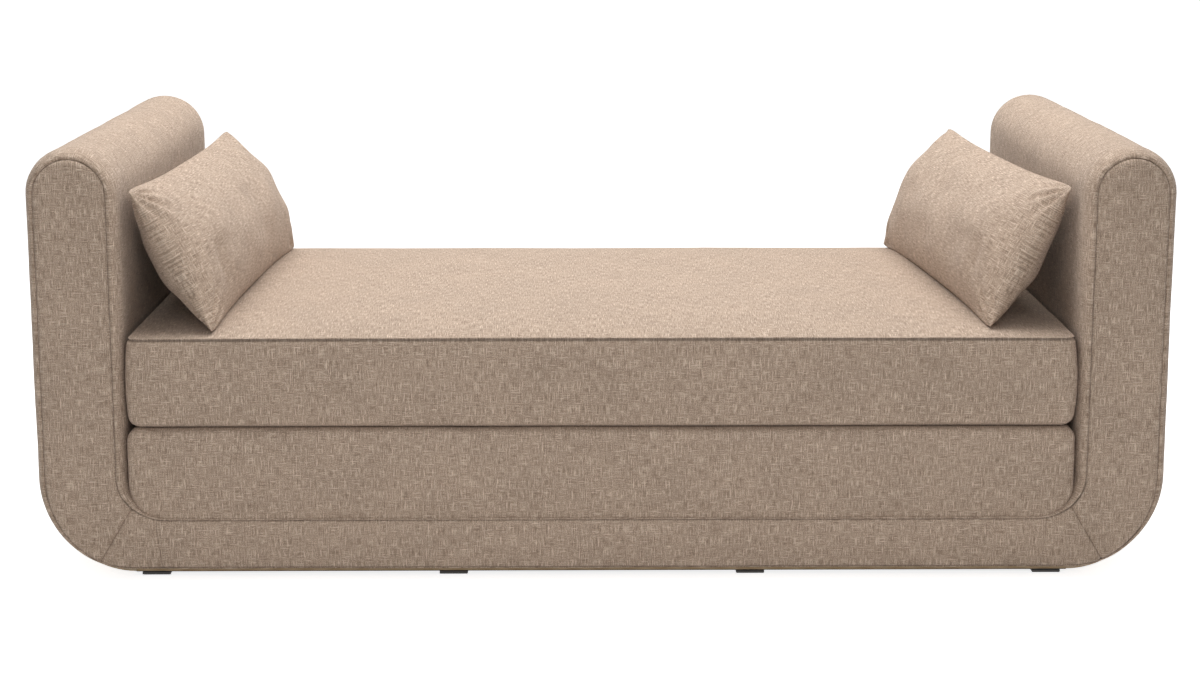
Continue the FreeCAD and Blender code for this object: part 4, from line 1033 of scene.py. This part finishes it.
def linen():
    """The upholstery: slubby taupe linen, matt, with a light crepe relief."""
    if "linen" in bpy.data.materials:
        return bpy.data.materials["linen"]
    look = looks()
    material, tree, shader = new_material("linen")
    uv = add_node(tree, "ShaderNodeUVMap", uv_map="cloth_metres").outputs["UV"]
    weave = add_node(tree, "ShaderNodeGroup", node_tree=weave_group())
    feed(tree, weave, {"Vector": uv})
    weave = weave.outputs
    tone = add_node(tree, "ShaderNodeMapRange", {"Value": weave["Tone"], "From Min": 0.36, "From Max": 0.64})
    dark, pale = opaque(look.cloth_colour, 0.5), opaque(look.cloth_colour, 1.28)
    cloth = mix_colour(tree, tone.outputs["Result"], dark, pale)
    cloth = mix_colour(tree, weave["Shade"], cloth, opaque(look.shade_colour))
    cloth = mix_colour(tree, weave["Slub"], cloth, opaque(look.slub_colour))
    # painted shade: the cloth turns darker at the seams to stand in for the shadow in their valleys
    seam = add_node(tree, "ShaderNodeAttribute", attribute_name="painted_seam_shade").outputs["Fac"]
    cloth = mix_colour(tree, seam, cloth, opaque(look.cloth_colour, 0.16))
    relief = {"Height": weave["Height"], "Strength": 0.55, "Distance": 0.0011}
    inputs = {
        "Base Color": cloth,
        "Roughness": 0.93,
        "Specular IOR Level": 0.22,
        "Sheen Weight": 0.12,
        "Sheen Roughness": 0.6,
        "Normal": add_node(tree, "ShaderNodeBump", relief).outputs["Normal"],
    }
    feed(tree, shader, inputs)
    return material


class Grain(typing.NamedTuple):
    """A finish whose two colours mix by a grain, stretched along the axes, of noise or of waves."""

    name: str
    colour: tuple
    second: tuple
    scale: float
    roughness: float
    stretch: tuple = (1, 1, 1)
    metallic: float = 0.0
    wave: bool = False


ZIP_TEETH = Grain("zip_teeth_moulded", (0.20, 0.165, 0.135), (0.27, 0.225, 0.185), 900, 0.45)
THREAD = Grain("sewing_thread", (0.42, 0.34, 0.27), (0.55, 0.46, 0.375), 1500, 0.85)
STEEL = Grain("zinc_plated_steel", (0.52, 0.53, 0.54), (0.66, 0.66, 0.65), 240, 0.38, metallic=1.0)
FOAM = Grain("cushion_foam", (0.74, 0.69, 0.56), (0.82, 0.78, 0.66), 420, 0.95)
FIBRE = Grain("fibre_fill", (0.80, 0.80, 0.79), (0.90, 0.90, 0.89), 160, 0.97, (1, 1, 2))
DUST_CLOTH = Grain("dust_cover_cloth", (0.020, 0.020, 0.021), (0.042, 0.042, 0.043), 900, 0.9)
WEBBING = Grain("elastic_webbing", (0.055, 0.054, 0.052), (0.16, 0.15, 0.14), 260, 0.85, wave=True)
GLIDE = Grain("moulded_glide", (0.05, 0.045, 0.042), (0.075, 0.07, 0.066), 700, 0.5)
TAPE = Grain("zip_tape_weave", (0.30, 0.24, 0.19), (0.42, 0.345, 0.275), 900, 0.9, (1, 1, 3))
SLIDER = Grain("zip_slider_metal", (0.36, 0.33, 0.29), (0.46, 0.43, 0.39), 500, 0.34, metallic=1.0)
PLYWOOD = Grain("birch_plywood", (0.60, 0.45, 0.29), (0.73, 0.59, 0.42), 26, 0.62, (0.4, 1, 7), wave=True)
TIMBER = Grain("sawn_timber", (0.52, 0.36, 0.20), (0.66, 0.49, 0.30), 20, 0.65, (0.3, 2, 6), wave=True)
SPREAD = 0.08  # how far the roughness strays to each side


def grained(finish):
    """The material of a grain, made once."""
    if finish.name in bpy.data.materials:
        return bpy.data.materials[finish.name]
    material, tree, shader = new_material(finish.name)
    place = add_node(tree, "ShaderNodeTexCoord").outputs["Object"]
    stretched = add_node(tree, "ShaderNodeMapping", {"Vector": place, "Scale": finish.stretch})
    inputs = {"Vector": stretched.outputs["Vector"], "Scale": finish.scale, "Detail": 4.0}
    kind = "ShaderNodeTexNoise"
    if finish.wave:
        inputs |= {"Detail": 2.0, "Distortion": 2.5}
        kind = "ShaderNodeTexWave"
    grain = add_node(tree, kind, inputs).outputs["Fac"]
    rough = {
        "Value": grain,
        "To Min": max(finish.roughness - SPREAD, 0.05),
        "To Max": min(finish.roughness + SPREAD, 1.0),
    }
    relief = {"Height": grain, "Strength": 0.5, "Distance": 0.0004}
    inputs = {
        "Base Color": mix_colour(tree, grain, opaque(finish.colour), opaque(finish.second)),
        "Roughness": add_node(tree, "ShaderNodeMapRange", rough).outputs["Result"],
        "Metallic": finish.metallic,
        "Normal": add_node(tree, "ShaderNodeBump", relief).outputs["Normal"],
    }
    feed(tree, shader, inputs)
    return material


# A word found in a node's name gives its finish, the first that fits; all other nodes are linen
NODE_FINISHES = (
    (TAPE, ("zip_tape",)),
    (ZIP_TEETH, ("zip_chain",)),
    (SLIDER, ("zip_slider", "zip_pull")),
    (FOAM, ("foam",)),
    (FIBRE, ("filling", "wadding", "felt")),
    (DUST_CLOTH, ("dust_cover",)),
    (WEBBING, ("webbing",)),
    (STEEL, ("screws",)),
    (GLIDE, ("glides",)),
    (PLYWOOD, ("ribs", "skin", "base_panel")),
    (TIMBER, ("rail", "bearers", "blocks", "crossbar")),
)


class DIVAN_OT_carried(bpy.types.Operator):
    """Gives every node of the frame its finish"""

    bl_idname = "divan.carried"
    bl_label = "Frame finishes"

    def execute(self, context):
        for name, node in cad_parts.items():
            found = [finish for finish, words in NODE_FINISHES if any(word in name for word in words)]
            node.data.materials.clear()
            node.data.materials.append(grained(found[0]) if found else linen())
        return {"FINISHED"}


# Stage and camera

FLOOR_REACH = 40.0
FLOOR_GLOW = 0.8  # with the light that falls on it, this makes the floor white
WORLD_LIGHT = 0.34
LAMPS = (  # name, place, tilt in degrees, width, depth and power
    ("lamp_above", (0.0, 0.35, 2.9), 0, 3.4, 2.6, 96.0),
    ("lamp_front", (0.0, -4.6, 2.3), 62, 3.2, 1.8, 36.0),
)
LENS, SENSOR = 63.12, 36.0
LENS_SHIFT = (0.0024, -0.09)
CAMERA_PLACE = (-0.0383, -3.9968, 1.2376)
CAMERA_DROP = 9.7773  # degrees below level
CAMERA_TURN = -0.00827


class DIVAN_OT_stage(bpy.types.Operator):
    """Sets the pale floor, the soft lamps and the camera"""

    bl_idname = "divan.stage"
    bl_label = "Stage and camera"

    def execute(self, context):
        far = FLOOR_REACH
        mesh = bpy.data.meshes.new("floor")
        corners = [(-far, -far, 0), (far, -far, 0), (far, far, 0), (-far, far, 0)]
        mesh.from_pydata(corners, [], [(0, 1, 2, 3)])
        mesh.materials.append(floor_finish())
        floor = bpy.data.objects.new("floor", mesh)
        context.scene.collection.objects.link(floor)
        white_world(context.scene)
        for name, place, tilt, width, depth, power in LAMPS:
            lamp = bpy.data.lights.new(name, "AREA")
            lamp.shape = "RECTANGLE"
            lamp.size, lamp.size_y, lamp.energy = width, depth, power
            stand(name, lamp, place, (math.radians(tilt), 0, 0))
        camera = bpy.data.cameras.new("camera")
        camera.lens, camera.sensor_width = LENS, SENSOR
        camera.shift_x, camera.shift_y = LENS_SHIFT
        view = (math.radians(90 - CAMERA_DROP), 0, CAMERA_TURN)
        context.scene.camera = stand("camera", camera, CAMERA_PLACE, view)
        context.scene.view_settings.view_transform = "Standard"
        return {"FINISHED"}


def stand(name, data, place, turn):
    """A lamp or camera at its place in the scene."""
    holder = bpy.data.objects.new(name, data)
    holder.location, holder.rotation_euler = place, turn
    bpy.context.scene.collection.objects.link(holder)
    return holder


def seen_directly(tree):
    """1 for camera, mirror and glass rays, 0 for the rays that light the object."""
    rays = add_node(tree, "ShaderNodeLightPath").outputs
    mirrored = calculate(tree, "MAXIMUM", rays["Is Camera Ray"], rays["Is Glossy Ray"])
    return calculate(tree, "MAXIMUM", mirrored, rays["Is Transmission Ray"])


def floor_finish():
    """White where it is seen, darkened only where the object's shadow falls."""
    material, tree, shader = new_material("studio_floor")
    grain = add_node(tree, "ShaderNodeTexNoise", {"Scale": 6.0}).outputs["Fac"]
    tint = mix_colour(tree, grain, (0.80, 0.80, 0.80, 1), (0.83, 0.83, 0.83, 1))
    feed(tree, shader, {"Base Color": tint, "Roughness": 0.9, "Specular IOR Level": 0.0})
    strength = calculate(tree, "MULTIPLY", seen_directly(tree), FLOOR_GLOW)
    glow = add_node(tree, "ShaderNodeEmission", {"Color": (1, 1, 1, 1), "Strength": strength})
    both = add_node(tree, "ShaderNodeAddShader", {0: shader.outputs[0], 1: glow.outputs[0]})
    feed(tree, tree.nodes["Material Output"], {"Surface": both.outputs[0]})
    return material


def white_world(scene):
    """White behind the object, with a weaker even light from all sides."""
    scene.world = bpy.data.worlds.new("studio")
    scene.world.use_nodes = True
    tree = scene.world.node_tree
    inputs = {"Value": seen_directly(tree), "To Min": WORLD_LIGHT, "To Max": 1.0}
    strength = add_node(tree, "ShaderNodeMapRange", inputs).outputs["Result"]
    feed(tree, tree.nodes["Background"], {"Color": (1, 1, 1, 1), "Strength": strength})


class DIVAN_PT_panel(bpy.types.Panel):
    """Lists the steps that build the divan's looks"""

    bl_idname = "DIVAN_PT_panel"
    bl_label = "Divan"
    bl_space_type = "VIEW_3D"
    bl_region_type = "UI"
    bl_category = "Divan"

    def draw(self, context):
        for step in STEPS:
            self.layout.operator(step.bl_idname)


STEPS = (
    DIVAN_OT_carried,
    DIVAN_OT_band,
    DIVAN_OT_deck,
    DIVAN_OT_seat,
    DIVAN_OT_zip,
    DIVAN_OT_pillows,
    DIVAN_OT_staples,
    DIVAN_OT_stage,
)
CLASSES = (DivanLooks, *STEPS, DIVAN_PT_panel)


def register():
    for kind in CLASSES:
        bpy.utils.register_class(kind)
    bpy.types.Scene.divan_looks = bpy.props.PointerProperty(type=DivanLooks)


def unregister():
    del bpy.types.Scene.divan_looks
    for kind in reversed(CLASSES):
        bpy.utils.unregister_class(kind)


def main():
    register()
    bpy.ops.divan.carried()
    bpy.ops.divan.band()
    bpy.ops.divan.deck()
    bpy.ops.divan.seat()
    bpy.ops.divan.zip()
    bpy.ops.divan.pillows()
    bpy.ops.divan.staples()
    bpy.ops.divan.stage()


if __name__ == "__main__":
    main()
